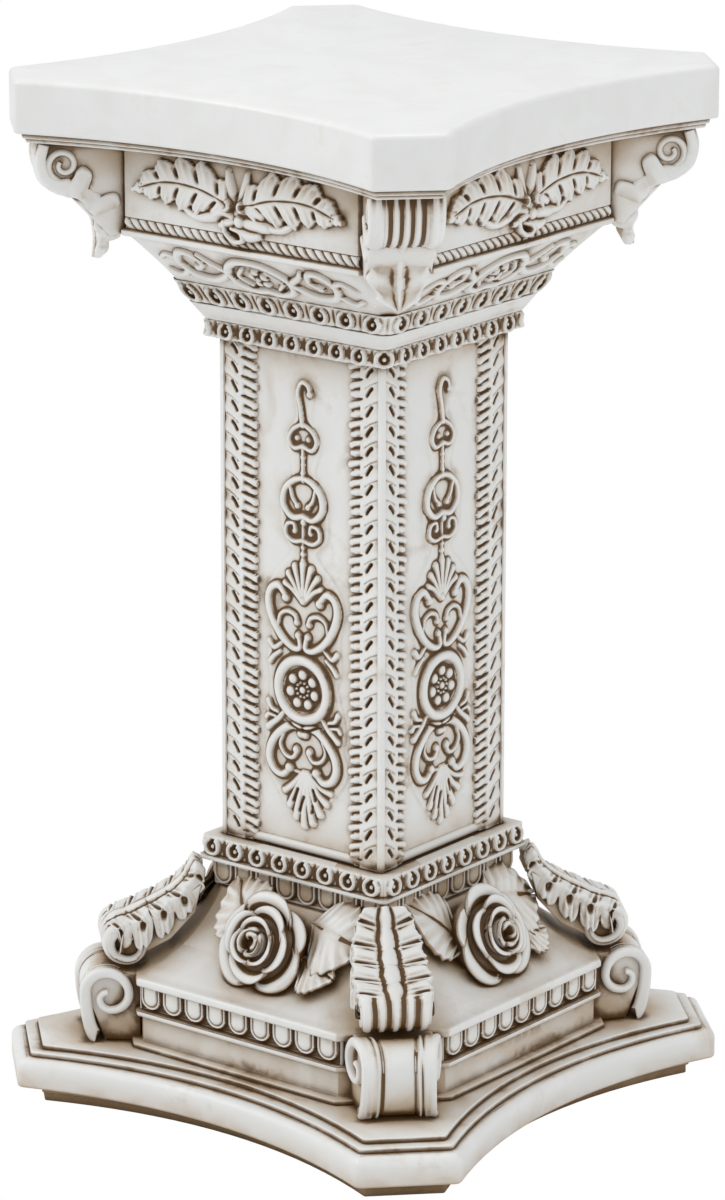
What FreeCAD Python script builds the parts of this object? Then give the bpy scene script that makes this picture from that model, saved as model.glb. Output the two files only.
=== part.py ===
import FreeCAD, Part
import math
import os
import Sketcher
from FreeCAD import Placement, Rotation, Vector

# Tabletop pedestal of cast resin: a moulded base, a square panelled shaft and a capital that carries a slab.
# Frame: +Z up, origin on the floor under the middle of the base, front face towards -Y, millimetres.
# Every length below is one cell of the sheet; levels, seats and widths that follow are worked out from it.

SIZES = {
    # foot and plinth
    "foot_height": 5.6,
    "foot_setback": 7.2,
    "plinth_half": 82.7,
    "plinth_chamfer": 20.6,
    "plinth_sag": 12.3,
    "plinth_band_height": 8.8,
    "plinth_splay": 2.2,
    "plinth_step_height": 1.45,
    "plinth_step_one": 4.0,
    "plinth_step_two": 8.1,
    # block above the plinth
    "block_setback": 25.3,
    "block_chamfer": 21.6,
    "curb_height": 1.5,
    "curb_reach": 3.0,
    "dado_height": 7.8,
    "low_fillet_height": 1.8,
    "top_fillet_height": 2.7,
    "fillet_reach": 1.9,
    "tongue_height": 7.4,
    "tongue_width": 7.2,
    "tongue_pitch": 8.1,
    "tongue_relief": 1.5,
    "tongue_backing": 0.9,
    "cavetto_height": 22.5,
    "cavetto_reach": 3.3,
    "cavetto_sag": 3.2,
    "spigot_height": 9.0,
    "spigot_gap": 0.3,
    # rings round the foot of the shaft
    "tongue_ring_height": 7.8,
    "tongue_ring_reach": 1.6,
    "ring_tongue_relief": 1.0,
    "bead_ring_height": 7.2,
    "bead_ring_reach": 4.1,
    "bead_relief": 0.9,
    "bead_radius": 3.2,
    "bead_pitch": 8.2,
    # shaft
    "shaft_half": 29.3,
    "shaft_wall": 6.0,
    "shaft_visible": 147.8,
    "shaft_head": 10.5,
    "panel_depth": 2.0,
    "post_width": 2.3,
    "border_width": 7.9,
    "rail_height": 2.2,
    "border_pitch": 5.68,
    "border_notch": 1.8,
    # capital
    "collar_height": 5.3,
    "collar_reach": 3.2,
    "band_height": 5.2,
    "band_reach": 6.8,
    "row_height": 6.5,
    "row_reach": 10.1,
    "corner_cut": 3.0,
    "bell_height": 14.7,
    "bell_setback": 1.0,
    "bell_chamfer": 14.2,
    "bell_sag": 0.9,
    "rope_fillet_height": 1.9,
    "rope_height": 3.4,
    "rope_reach": 0.8,
    "frieze_setback": 21.6,
    "frieze_chamfer": 14.5,
    "frieze_height": 21.2,
    # slab
    "under_height": 2.8,
    "under_setback": 2.4,
    "slab_half": 77.1,
    "slab_chamfer": 14.6,
    "slab_sag": 12.0,
    "slab_height": 15.2,
    "slab_splay": 0.9,
    # scrolls at the corners
    "bolster_projection": 17.7,
    "bolster_turn": 7.7,
    "bolster_half": 10.5,
    "bolster_flare": 12.0,
    "bolster_band": 4.6,
    "bolster_groove": 0.7,
    "bolster_sink": 1.2,
    "console_setback": 7.0,
    "console_turn": 6.4,
    "console_half": 9.4,
    "volute_projection": 25.2,
    "volute_drop": 35.2,
    "volute_half": 10.5,
    "volute_web": 6.6,
    # roses and leaves
    "rose_radius": 15.6,
    "rose_depth": 9.0,
    "rose_tilt": 24.0,
    "rose_level": 52.6,
    "rose_stand": 47.0,
    "petal_thickness": 1.3,
    "leaf_length": 24.0,
    "leaf_width": 15.0,
    "leaf_thickness": 2.2,
    "spray_length": 37.0,
    "spray_width": 13.5,
    "spray_thickness": 2.4,
    "strap_width": 2.2,
    "medallion_radius": 9.8,
    "medallion_rise": 48.9,
    "drop_height": 132.0,
    "cove_scroll_half": 26.4,
}

SIDES = {"front": 0, "right": 90, "back": 180, "left": 270}
CORNERS = {"front_right": -45, "back_right": 45, "back_left": 135, "front_left": 225}
HALF_TURN_SINE = math.sqrt(0.5)
BEAD_SIDES = 6
CHORDS = 5  # straight steps to a quarter turn where an ornament repeats
UP = Vector(0, 0, 1)

doc = FreeCAD.newDocument("Pedestal")
sheet = doc.addObject("Spreadsheet::Sheet", "Sizes")
for row, (alias, number) in enumerate(SIZES.items(), start=1):
    sheet.set(f"A{row}", alias)
    sheet.set(f"B{row}", str(number))
    sheet.setAlias(f"B{row}", alias)
doc.recompute()

nodes = {}


class Size:
    """A length with the expression that keeps a property bound to the sheet."""

    def __init__(self, number, text):
        self.number = number
        self.text = text

    def __add__(self, other):
        other = as_size(other)
        return Size(self.number + other.number, f"({self.text} + {other.text})")

    def __sub__(self, other):
        other = as_size(other)
        return Size(self.number - other.number, f"({self.text} - {other.text})")

    def __mul__(self, other):
        other = as_size(other)
        return Size(self.number * other.number, f"({self.text} * {other.text})")

    def __truediv__(self, other):
        other = as_size(other)
        return Size(self.number / other.number, f"({self.text} / {other.text})")

    def __neg__(self):
        return Size(-self.number, f"(0 - {self.text})")

    def root(self):
        return Size(math.sqrt(self.number), f"sqrt({self.text})")


def as_size(value):
    return value if isinstance(value, Size) else Size(float(value), repr(float(value)))


def size(alias):
    return Size(float(sheet.get(alias)), f"Sizes.{alias}")


def length(alias):
    return size(alias).number


def levels():
    """Seat level of each tier, each one standing on the tier below."""
    step = size("plinth_step_height")
    tiers = {
        "foot": size("foot_height"),
        "plinth": size("plinth_band_height") + step + step,
        "curb": size("curb_height"),
        "dado": size("dado_height"),
        "low_fillet": size("low_fillet_height"),
        "tongues": size("tongue_height"),
        "top_fillet": size("top_fillet_height"),
        "cavetto": size("cavetto_height"),
        "tongue_ring": size("tongue_ring_height"),
        "bead_ring": size("bead_ring_height"),
        "panels": size("shaft_visible"),
        "collar": size("collar_height"),
        "band": size("band_height"),
        "row": size("row_height"),
        "bell": size("bell_height"),
        "rope": size("rope_fillet_height") + size("rope_height"),
        "frieze": size("frieze_height"),
        "under": size("under_height"),
        "slab": size("slab_height"),
    }
    seats = {}
    level = as_size(0)
    for tier, height in tiers.items():
        seats[tier] = level
        level = level + height
    seats["top"] = level
    return seats


LEVEL = levels()


def level(tier):
    return LEVEL[tier].number


def beyond_shaft(reach):
    """Half width of a ring that stands out from the shaft by a named reach."""
    return size("shaft_half") + size(reach)


def block_half():
    return size("plinth_half") - size("block_setback")


def frieze_half():
    return size("slab_half") - size("frieze_setback")


def bell_half():
    return frieze_half() - size("bell_setback")


def cut_corner(half, chamfer):
    """Distance from the axis to the cut corner of a square."""
    return (2.0 * half - chamfer) * HALF_TURN_SINE


def bolster_reach():
    return cut_corner(block_half().number, length("block_chamfer")) + length("bolster_projection")


# --- sketches and features -------------------------------------------------------------------------------


def new_body(name):
    return doc.addObject("PartDesign::Body", name)


def origin_plane(body, role):
    return next(item for item in body.Origin.OriginFeatures if item.Role == role)


def outline_sketch(body, name, corners, role="XY_Plane", offset=None):
    """Closed outline through corners (x, y, bow), listed anticlockwise. The side after a corner is straight
    where its bow is None, and otherwise an arc that sinks inwards by the bow."""
    sketch = body.newObject("Sketcher::SketchObject", name)
    sketch.AttachmentSupport = [(origin_plane(body, role), "")]
    sketch.MapMode = "FlatFace"
    if offset is not None:
        sketch.AttachmentOffset = Placement(Vector(0, 0, offset.number), Rotation())
        sketch.setExpression("AttachmentOffset.Base.z", offset.text)
    count = len(corners)
    ends = []
    for index, (x, y, bow) in enumerate(corners):
        after = corners[(index + 1) % count]
        start = Vector(x.number, y.number, 0)
        end = Vector(after[0].number, after[1].number, 0)
        if bow is None:
            side = sketch.addGeometry(Part.LineSegment(start, end))
            ends.append((side, 1, 2))
            continue
        along = end - start
        inward = Vector(-along.y, along.x, 0).normalize()
        middle = (start + end) * 0.5 + inward * bow.number
        side = sketch.addGeometry(Part.Arc(start, middle, end))
        first, last = sketch.getPoint(side, 1), sketch.getPoint(side, 2)
        forwards = first.distanceToPoint(start) < last.distanceToPoint(start)
        ends.append((side, 1, 2) if forwards else (side, 2, 1))
    for index, (x, y, bow) in enumerate(corners):
        side, first, _ = ends[index]
        previous, _, last = ends[index - 1]
        sketch.addConstraint(Sketcher.Constraint("Coincident", previous, last, side, first))
        for kind, value in (("DistanceX", x), ("DistanceY", y)):
            rule = sketch.addConstraint(Sketcher.Constraint(kind, -1, 1, side, first, value.number))
            sketch.setExpression(f"Constraints[{rule}]", value.text)
    for index, (x, y, bow) in enumerate(corners):
        if bow is None:
            continue
        after = corners[(index + 1) % count]
        across = after[0] - x
        upward = after[1] - y
        radius = (across * across + upward * upward) / (bow * 8.0) + bow / 2.0
        rule = sketch.addConstraint(Sketcher.Constraint("Radius", ends[index][0], radius.number))
        sketch.setExpression(f"Constraints[{rule}]", radius.text)
    return sketch


def pad(body, sketch, height):
    feature = body.newObject("PartDesign::Pad", f"{sketch.Name}_pad")
    feature.Profile = sketch
    feature.Length = height.number
    feature.setExpression("Length", height.text)
    return feature


def pocket_all_round(body, sketch):
    """Cuts the sketched outline right across the body, on its four sides."""
    feature = body.newObject("PartDesign::Pocket", f"{sketch.Name}_pocket")
    feature.Profile = sketch
    feature.Type = "ThroughAll"
    feature.Midplane = True
    pattern = body.newObject("PartDesign::PolarPattern", f"{sketch.Name}_turned")
    pattern.Originals = [feature]
    pattern.Axis = (origin_plane(body, "Z_Axis"), [""])
    pattern.Angle = 360
    pattern.Occurrences = len(SIDES)
    body.Tip = pattern
    return pattern


def hole_through(body, name, half):
    """Square hole through the whole body."""
    feature = body.newObject("PartDesign::Pocket", f"{name}_hole")
    feature.Profile = outline_sketch(body, f"{name}_hole_sketch", square(half))
    feature.Type = "ThroughAll"
    feature.Midplane = True
    return feature


def splay_edges(body, name, leg, chosen):
    doc.recompute()
    base = body.Tip
    edges = [f"Edge{index}" for index, edge in enumerate(base.Shape.Edges, start=1) if chosen(edge)]
    feature = body.newObject("PartDesign::Chamfer", name)
    feature.Base = (base, edges)
    feature.Size = leg.number
    feature.setExpression("Size", leg.text)
    return feature


def seat(obj, tier):
    """Stands a body, drawn from level 0 up, on the tier's level."""
    obj.Placement = Placement(Vector(0, 0, LEVEL[tier].number), Rotation())
    obj.setExpression("Placement.Base.z", LEVEL[tier].text)


def at_level(edge, height):
    return all(abs(vertex.Z - height) < 0.001 for vertex in edge.Vertexes)


# --- outlines in plan -----------------------------------------------------------------------------------


def octagon(half, chamfer, sag=None):
    """Square with cut corners; with a sag its four long sides curve inwards."""
    reach = half - chamfer
    bow = sag if sag is not None else None
    return [
        (reach, -half, None),
        (half, -reach, bow),
        (half, reach, None),
        (reach, half, bow),
        (-reach, half, None),
        (-half, reach, bow),
        (-half, -reach, None),
        (-reach, -half, bow),
    ]


def set_in(half, chamfer, inset):
    """Half width and chamfer leg of a cut-corner square drawn an even inset inside another."""
    return half - inset, chamfer - inset * (2.0 - math.sqrt(2.0))


def square(half):
    return [(half, -half, None), (half, half, None), (-half, half, None), (-half, -half, None)]


def hollow_slope(foot, head, sag):
    """Corners up a slope on the -Y side, from foot to head (half width, level), that sinks in by the sag at
    its middle. It has straight steps, so that the ornament that lies on it stays light."""
    run, rise = foot[0] - head[0], head[1] - foot[1]
    slant = (run * run + rise * rise).root()
    corners = []
    for step in range(CHORDS):
        share = step / (CHORDS - 1.0)
        sink = sag * (4.0 * share * (1.0 - share)) / slant
        corners.append((run * share - foot[0] + sink * rise, foot[1] + rise * share - sink * run, None))
    return corners


# --- foot, plinth, block ---------------------------------------------------------------------------------


def make_foot():
    body = new_body("foot")
    half, chamfer = set_in(size("plinth_half"), size("plinth_chamfer"), size("foot_setback"))
    plate = outline_sketch(body, "foot_plate", octagon(half, chamfer, size("plinth_sag")))
    pad(body, plate, size("foot_height"))
    seat(body, "foot")
    nodes["foot"] = body


def make_plinth():
    body = new_body("plinth")
    half, chamfer, sag = size("plinth_half"), size("plinth_chamfer"), size("plinth_sag")
    band = size("plinth_band_height")
    step = size("plinth_step_height")
    pad(body, outline_sketch(body, "plinth_band", octagon(half, chamfer, sag)), band)
    splay_edges(body, "plinth_splay", size("plinth_splay"), lambda edge: at_level(edge, band.number))
    for name, inset, height in (
        ("plinth_step_low", "plinth_step_one", band),
        ("plinth_step_high", "plinth_step_two", band + step),
    ):
        narrow, cut = set_in(half, chamfer, size(inset))
        pad(body, outline_sketch(body, name, octagon(narrow, cut, sag), offset=height), step)
    seat(body, "plinth")
    nodes["plinth"] = body


def make_block():
    """Block of the base: curb, dado, two fillets with the tongues' recess between, a cavetto up to the shaft
    and the spigot that centres the hollow shaft."""
    body = new_body("base_block")
    half, chamfer = block_half(), size("block_chamfer")
    height = as_size(0)
    tiers = (
        ("curb", size("curb_height"), size("curb_reach")),
        ("dado", size("dado_height"), as_size(0)),
        ("low_fillet", size("low_fillet_height"), size("fillet_reach")),
        ("recess", size("tongue_height"), -size("tongue_backing")),
        ("top_fillet", size("top_fillet_height"), size("fillet_reach")),
        ("cavetto", size("cavetto_height"), as_size(0)),
    )
    for name, tall, reach in tiers:
        wide, cut = set_in(half, chamfer, -reach)
        pad(body, outline_sketch(body, name, octagon(wide, cut), offset=height), tall)
        height = height + tall
    foot = height - size("cavetto_height")
    outside = half + size("curb_reach")
    hollow = hollow_slope((half, foot), (beyond_shaft("cavetto_reach"), height), size("cavetto_sag"))
    hollow += [(-outside, height, None), (-outside, foot, None)]
    pocket_all_round(body, outline_sketch(body, "cavetto_hollow", hollow, "YZ_Plane"))
    bore = size("shaft_half") - size("shaft_wall") - size("spigot_gap")
    pad(body, outline_sketch(body, "spigot", square(bore), offset=height), size("spigot_height"))
    seat(body, "curb")
    nodes["base_block"] = body


# --- straight and square runs of ornament ----------------------------------------------------------------


def flat(x, z):
    """Point of a front-face drawing: x to the right, z up, on the plane y = 0."""
    return Vector(x, 0, z)


def outline_face(corners):
    """Face in the front plane with straight sides between its corners (x, z)."""
    points = [flat(x, z) for x, z in corners]
    return Part.Face(Part.makePolygon(points + points[:1]))


def many_sided(x, z, radius, sides, stretch=1.0):
    """Corners of an even-sided figure about (x, z), wider than high where it is stretched."""
    turns = [2.0 * math.pi * (index + 0.5) / sides for index in range(sides)]
    return [(x + stretch * radius * math.cos(turn), z + radius * math.sin(turn)) for turn in turns]


def raised(face, back, front):
    """Solid standing out from y = -back to y = -front over a front-plane face."""
    solid = face.extrude(Vector(0, back - front, 0))
    solid.translate(Vector(0, -back, 0))
    return solid


def holed_face(outer, inner):
    """Face in the front plane between two outlines of corners (x, z)."""
    rims = [Part.makePolygon([flat(x, z) for x, z in corners + corners[:1]]) for corners in (outer, inner)]
    return Part.makeFace(Part.makeCompound(rims), "Part::FaceMakerBullseye")


def frustum(foot, head):
    """Solid between two outlines of as many corners, with a flat side between each pair of edges."""
    faces = [Part.Face(Part.makePolygon(rim + rim[:1])) for rim in (foot, head)]
    for index in range(len(foot)):
        corners = [foot[index - 1], foot[index], head[index], head[index - 1]]
        faces.append(Part.Face(Part.makePolygon(corners + corners[:1])))
    solid = Part.Solid(Part.Shell(faces))
    return solid if solid.Volume > 0 else solid.reversed()


def fused(solids):
    whole = solids[0].multiFuse(solids[1:]) if len(solids) > 1 else solids[0]
    return whole.removeSplitter()


def turned(shape, angle):
    copy = shape.copy()
    copy.rotate(Vector(0, 0, 0), UP, angle)
    return copy


def add_shape(name, shape):
    """Free-form sub-part, drawn in the object's frame."""
    obj = doc.addObject("Part::Feature", name)
    obj.Shape = shape
    nodes[name] = obj
    return obj


def tongue_face(middle, top, width, height):
    """Tongue with a square head and splayed lower corners, hanging from its top."""
    half = width / 2.0
    corner = width * 0.3
    low = top - height
    return outline_face([
        (middle - half, top),
        (middle - half, low + corner),
        (middle - half + corner, low),
        (middle + half - corner, low),
        (middle + half, low + corner),
        (middle + half, top),
    ])


def run_places(pitch, reach):
    """Middles of a centred run of repeats that fits within the reach either side."""
    count = max(1, int(2.0 * reach / pitch))
    return [(index - (count - 1) / 2.0) * pitch for index in range(count)]


def tongue_strip():
    """Strip that fills the recess of one side: a backing and its row of tongues."""
    face_at = block_half().number
    wide = face_at + length("fillet_reach")
    reach = wide - length("block_chamfer") - length("fillet_reach") * (math.sqrt(2.0) - 1.0)
    low = level("tongues")
    high = level("top_fillet")
    backing = raised(
        outline_face([(-reach, low), (reach, low), (reach, high), (-reach, high)]),
        face_at - length("tongue_backing"),
        face_at,
    )
    tall = length("tongue_height") * 0.95
    width = length("tongue_width")
    tongues = [
        raised(tongue_face(place, high, width, tall), face_at, face_at + length("tongue_relief"))
        for place in run_places(length("tongue_pitch"), reach)
    ]
    return fused([backing] + tongues)


def ring_body(name, tier, low_half, high_half, tall, corner=None):
    """Square ring round the shaft, splayed from one half width to another."""
    def plan(half):
        return square(half) if corner is None else octagon(half, corner)

    body = new_body(name)
    loft = body.newObject("PartDesign::AdditiveLoft", f"{name}_loft")
    loft.Profile = outline_sketch(body, f"{name}_low", plan(low_half))
    loft.Sections = [outline_sketch(body, f"{name}_high", plan(high_half), offset=tall)]
    loft.Ruled = True
    hole_through(body, name, size("shaft_half"))
    seat(body, tier)
    doc.recompute()
    return body


def bead(middle, height, back, radius):
    """Round bead, drawn as a low many-sided point because it repeats."""
    rim = [Vector(x, -back, z) for x, z in many_sided(middle, height, radius, BEAD_SIDES)]
    tip = Vector(middle, -back - length("bead_relief"), height)
    faces = [Part.Face(Part.makePolygon(rim + rim[:1]))]
    for start, end in zip(rim, rim[1:] + rim[:1]):
        faces.append(Part.Face(Part.makePolygon([start, end, tip, start])))
    solid = Part.Solid(Part.Shell(faces))
    return solid if solid.Volume > 0 else solid.reversed()


def bead_row(ring, half, splay, tier, tall, places):
    """Ring of a tier with beads on its four sides; splay is how far the ring widens upwards."""
    middle = level(tier) + tall / 2.0
    lean = math.degrees(math.atan2(splay, tall))
    face_at = half + splay / 2.0
    solids = [ring]
    for place in places:
        boss = bead(place, middle, face_at, min(length("bead_radius"), 0.47 * tall))
        boss.rotate(Vector(0, -face_at, middle), Vector(1, 0, 0), lean)
        solids.extend(turned(boss, angle) for angle in SIDES.values())
    return fused(solids)


def make_rings():
    """Rings round the shaft: tongues and beads at its foot, beads, band and beads at its head."""
    tall = size("tongue_ring_height")
    ring_half = beyond_shaft("tongue_ring_reach")
    plain = ring_body("tongue_ring_body", "tongue_ring", ring_half, ring_half, tall)
    half = ring_half.number
    front = half + length("ring_tongue_relief")
    top = level("bead_ring")
    tongues = [
        turned(raised(tongue_face(place, top, length("tongue_width"), tall.number), half, front), angle)
        for place in run_places(length("tongue_pitch"), half)
        for angle in SIDES.values()
    ]
    add_shape("tongue_ring", fused([plain.Shape] + tongues))

    band_half, row_half = beyond_shaft("band_reach"), beyond_shaft("row_reach")
    corner = size("corner_cut")
    bead_half, collar_half = beyond_shaft("bead_ring_reach"), beyond_shaft("collar_reach")
    for name, tier, low_half, high_half, tall, cut in (
        ("bead_ring", "bead_ring", bead_half, bead_half, size("bead_ring_height"), None),
        ("collar_beads", "collar", collar_half, collar_half, size("collar_height"), corner),
        ("upper_beads", "row", band_half, row_half, size("row_height"), corner),
    ):
        plain = ring_body(f"{name}_body", tier, low_half, high_half, tall, cut)
        reach = low_half.number - (cut.number if cut else 0.0)
        splay = high_half.number - low_half.number
        places = run_places(length("bead_pitch"), reach)
        add_shape(name, bead_row(plain.Shape, low_half.number, splay, tier, tall.number, places))
    nodes["plain_band"] = ring_body("plain_band", "band", collar_half, band_half, size("band_height"), corner)


# --- shaft ------------------------------------------------------------------------------------------------


def make_shaft():
    """Square tube whose four panels are sunk between thin corner posts."""
    body = new_body("shaft")
    half = size("shaft_half")
    base = LEVEL["tongue_ring"]
    full = LEVEL["collar"] - base + size("shaft_head")
    pad(body, outline_sketch(body, "shaft_section", square(half)), full)
    inside = half - size("post_width")
    sunk = half - size("panel_depth")
    low = LEVEL["panels"] - base
    high = LEVEL["collar"] - base
    for name, turn in (("shaft_front_back", "XZ_Plane"), ("shaft_right_left", "YZ_Plane")):
        for sign, end in ((1, "near"), (-1, "far")):
            sketch = outline_sketch(
                body,
                f"{name}_{end}",
                [(-inside, low, None), (inside, low, None), (inside, high, None), (-inside, high, None)],
                turn,
                offset=sunk * sign,
            )
            feature = body.newObject("PartDesign::Pocket", f"{name}_{end}_pocket")
            feature.Profile = sketch
            feature.Type = "ThroughAll"
            feature.Reversed = sign > 0
    hole_through(body, "shaft", half - size("shaft_wall"))
    body.Placement = Placement(Vector(0, 0, base.number), Rotation())
    body.setExpression("Placement.Base.z", base.text)
    nodes["shaft"] = body


def panel_frame():
    """Border of one panel: two strips of leaves, their inner edges notched at every second leaf, joined by
    rails at top and foot."""
    outer = length("shaft_half") - length("post_width")
    inner = outer - length("border_width")
    low, high = level("panels"), level("collar")
    rail = length("rail_height")
    pitch = 2.0 * length("border_pitch")
    notch = length("border_notch")
    count = int((high - low - 2.0 * rail) / pitch)
    start = low + rail + ((high - low - 2.0 * rail) - count * pitch) / 2.0
    edge = [(inner, low + rail)]
    for index in range(count):
        foot = start + index * pitch
        edge += [(inner, foot), (inner + notch, foot + 0.5 * pitch)]
    edge.append((inner, high - rail))
    opening = edge + [(-x, z) for x, z in reversed(edge)]
    border = [(-outer, low), (outer, low), (outer, high), (-outer, high)]
    face = holed_face(border, opening)
    return raised(face, length("shaft_half") - length("panel_depth"), length("shaft_half"))


# --- scrolls ----------------------------------------------------------------------------------------------


def quarter_turns(start, heading, radii, turn):
    """Corners along quarter-turn arcs that meet tangent, each with its own radius: a volute laid out with
    compasses. turn is 1 for anticlockwise in a drawing of x to the right and z up, and -1 for clockwise."""
    corners = [start]
    for radius in radii:
        side = Vector(-heading.z, 0, heading.x) * turn
        centre = corners[-1] + side * radius
        for step in range(1, CHORDS + 1):
            angle = math.pi * 0.5 * step / CHORDS
            corners.append(centre + heading * (radius * math.sin(angle)) - side * (radius * math.cos(angle)))
        heading = side
    return corners


def leaning_curve(top, end):
    """Corners of an arc that leaves its top upright and ends at another point, less the top itself."""
    drop = top.z - end.z
    lean = end.x - top.x
    radius = (drop * drop + lean * lean) / (2.0 * abs(lean))
    sweep = math.asin(min(1.0, drop / radius))
    across = math.copysign(radius, lean)
    corners = []
    for step in range(1, CHORDS + 1):
        angle = sweep * step / CHORDS
        corners.append(flat(top.x + across * (1.0 - math.cos(angle)), top.z - radius * math.sin(angle)))
    return corners


def slab_of(corners, half):
    """Solid of a side view, as thick as twice the half width."""
    face = Part.Face(Part.makePolygon(corners + corners[:1]))
    solid = face.extrude(Vector(0, 2.0 * half, 0))
    solid.translate(Vector(0, -half, 0))
    return solid


def flared_prism(near, far, reach, half):
    """Upright prism from near to far along +X: its half width is given at the reach and grows inwards."""
    slope = math.tan(math.radians(length("bolster_flare")))
    wide, narrow = half + slope * (reach - near), half + slope * (reach - far)
    corners = [Vector(near, -wide, 0), Vector(far, -narrow, 0), Vector(far, narrow, 0), Vector(near, wide, 0)]
    return Part.Face(Part.makePolygon(corners + corners[:1])).extrude(UP * level("top"))


def bolster():
    """Corner scroll of the base: a band that rises from the plinth and rolls inwards, with a plain middle.
    Its radii and offsets are shares of the first quarter turn."""
    reach, turn, half = bolster_reach(), length("bolster_turn"), length("bolster_half")
    floor = level("curb")
    neck = reach - length("bolster_projection")
    eye = floor + 1.91 * turn
    outer_start, inner_start = flat(reach, eye), flat(reach - 0.57 * turn, eye)
    outer_foot, inner_foot = flat(reach - 0.51 * turn, floor), flat(reach - 1.04 * turn, floor)
    outer = quarter_turns(outer_start, UP, [turn, 0.95 * turn, 0.81 * turn], 1)
    inner = quarter_turns(inner_start, UP, [0.47 * turn, 0.455 * turn], 1)
    rise = leaning_curve(outer_start, outer_foot)[::-1]
    band = rise + outer + inner[::-1] + leaning_curve(inner_start, inner_foot)
    disc = quarter_turns(outer_start, UP, [turn, 0.95 * turn], 1)
    middle = rise + disc + [flat(neck, disc[-1].z), flat(neck, floor)]
    near, far = neck - turn, reach + turn
    core = slab_of(middle, 2.0 * half).common(flared_prism(near, far, reach, half - length("bolster_sink")))
    flanks = slab_of(band, 2.0 * half).common(flared_prism(near, far, reach, half))
    gap = length("bolster_band") + length("bolster_groove")
    flanks = flanks.cut(Part.makeBox(far - near, 2.0 * gap, 4.0 * turn, Vector(near, -gap, floor)))
    return fused([core] + flanks.Solids)


def console():
    """Acanthus console: it falls from the shaft's corner and rolls up over the bolster, with lobed edges.
    The side view is drawn in shares of the first quarter turn."""
    turn = length("console_turn")
    lip = flat(bolster_reach() - length("console_setback") - turn, level("cavetto") + 2.3 * turn)
    inner_lip = lip - UP * (0.55 * turn)
    outer = quarter_turns(lip, Vector(1, 0, 0), [turn, 1.125 * turn, 0.81 * turn], -1)
    inner = quarter_turns(inner_lip, Vector(1, 0, 0), [0.53 * turn, 0.59 * turn], -1)
    back = Part.BSplineCurve()
    falls = ((-3.08, 2.53), (-2.81, 1.65), (-2.06, 1.03), (-1.05, 0.5), (0.0, 0.0))
    back.interpolate([lip + flat(x, z) * turn for x, z in falls])
    lobes = (
        (-0.94, -0.69), (-1.47, -1.59), (-2.06, -1.0), (-2.41, -1.41), (-2.59, -0.375),
        (-3.06, -0.31), (-2.91, 0.5), (-3.53, 0.72), (-3.16, 1.31), (-3.66, 1.875),
    )
    fall = back.toShape().discretize(Number=CHORDS + 3)
    edge = [lip + flat(x, z) * turn for x, z in lobes]
    return slab_of(fall + outer[1:] + inner[::-1] + edge, length("console_half"))


def corner_volute():
    """Corner volute of the capital: a flat scroll under the slab with a hanging leaf. The side view is drawn
    in parts, of which its drop measures 44."""
    part = length("volute_drop") / 44.0
    face = cut_corner(frieze_half().number, length("frieze_chamfer"))
    reach = face + length("volute_projection")
    inside = face - 5.0 * part

    def at(back, down):
        return flat(reach - back * part, level("under") - down * part)

    def sweep(start, middle, end):
        return Part.Arc(at(*start), at(*middle), at(*end)).toShape().discretize(Number=CHORDS)

    front = sweep((1, 0), (0, 8.75), (4, 18.25))
    front += sweep((4, 18.25), (10.75, 22.9), (18.5, 25.75))[1:]
    front += sweep((18.5, 25.75), (21.75, 31.75), (21.75, 44))[1:]
    front += sweep((21.75, 44), (27, 41.75), (30.5, 36.75))[1:]
    web = slab_of(front + [flat(inside, at(0, 36.75).z), flat(inside, level("under"))], length("volute_web"))
    lobes = (
        (33.25, 30.5), (29.5, 26.75), (28.25, 20.75), (24, 18.25),
        (22, 12.25), (17.75, 11.25), (16, 4.25), (12, 0),
    )
    cheeks = slab_of(front + [at(back, down) for back, down in lobes], length("volute_half"))
    middle = at(10, 10.75)
    eye = outline_face(many_sided(middle.x, middle.z, 4.5 * part, 8))
    for side in (-1.0, 1.0):
        dimple = eye.extrude(Vector(0, 2.5 * part, 0))
        dimple.translate(Vector(0, side * length("volute_half") - 1.25 * part, 0))
        cheeks = cheeks.cut(dimple)
    return fused([web, cheeks])


# --- flowers and leaves -----------------------------------------------------------------------------------


def ring_part(radius, height, sweep):
    """Corners of part of a ring at a height, with two straight sides outside and two inside."""
    turns = [math.radians(sweep * (index / 2.0 - 0.5)) for index in range(3)]
    outer = [Vector(radius * math.cos(turn), radius * math.sin(turn), height) for turn in turns]
    wall = 1.0 - length("petal_thickness") / radius
    return outer + [Vector(point.x * wall, point.y * wall, height) for point in reversed(outer)]


def petal(radius, height, opening, sweep, turn):
    """Curved petal: part of the wall of a cup that opens upwards."""
    shell = frustum(ring_part(radius - opening, 0.0, sweep), ring_part(radius, height, sweep))
    shell.rotate(Vector(0, 0, 0), UP, turn)
    return shell


def faceted_cup(low_radius, high_radius, low, high, sides):
    """Many-sided frustum about the flower's axis."""
    turns = [2.0 * math.pi * index / sides for index in range(sides)]
    rims = [
        [Vector(radius * math.cos(turn), radius * math.sin(turn), height) for turn in turns]
        for radius, height in ((low_radius, low), (high_radius, high))
    ]
    return frustum(rims[0], rims[1])


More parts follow.
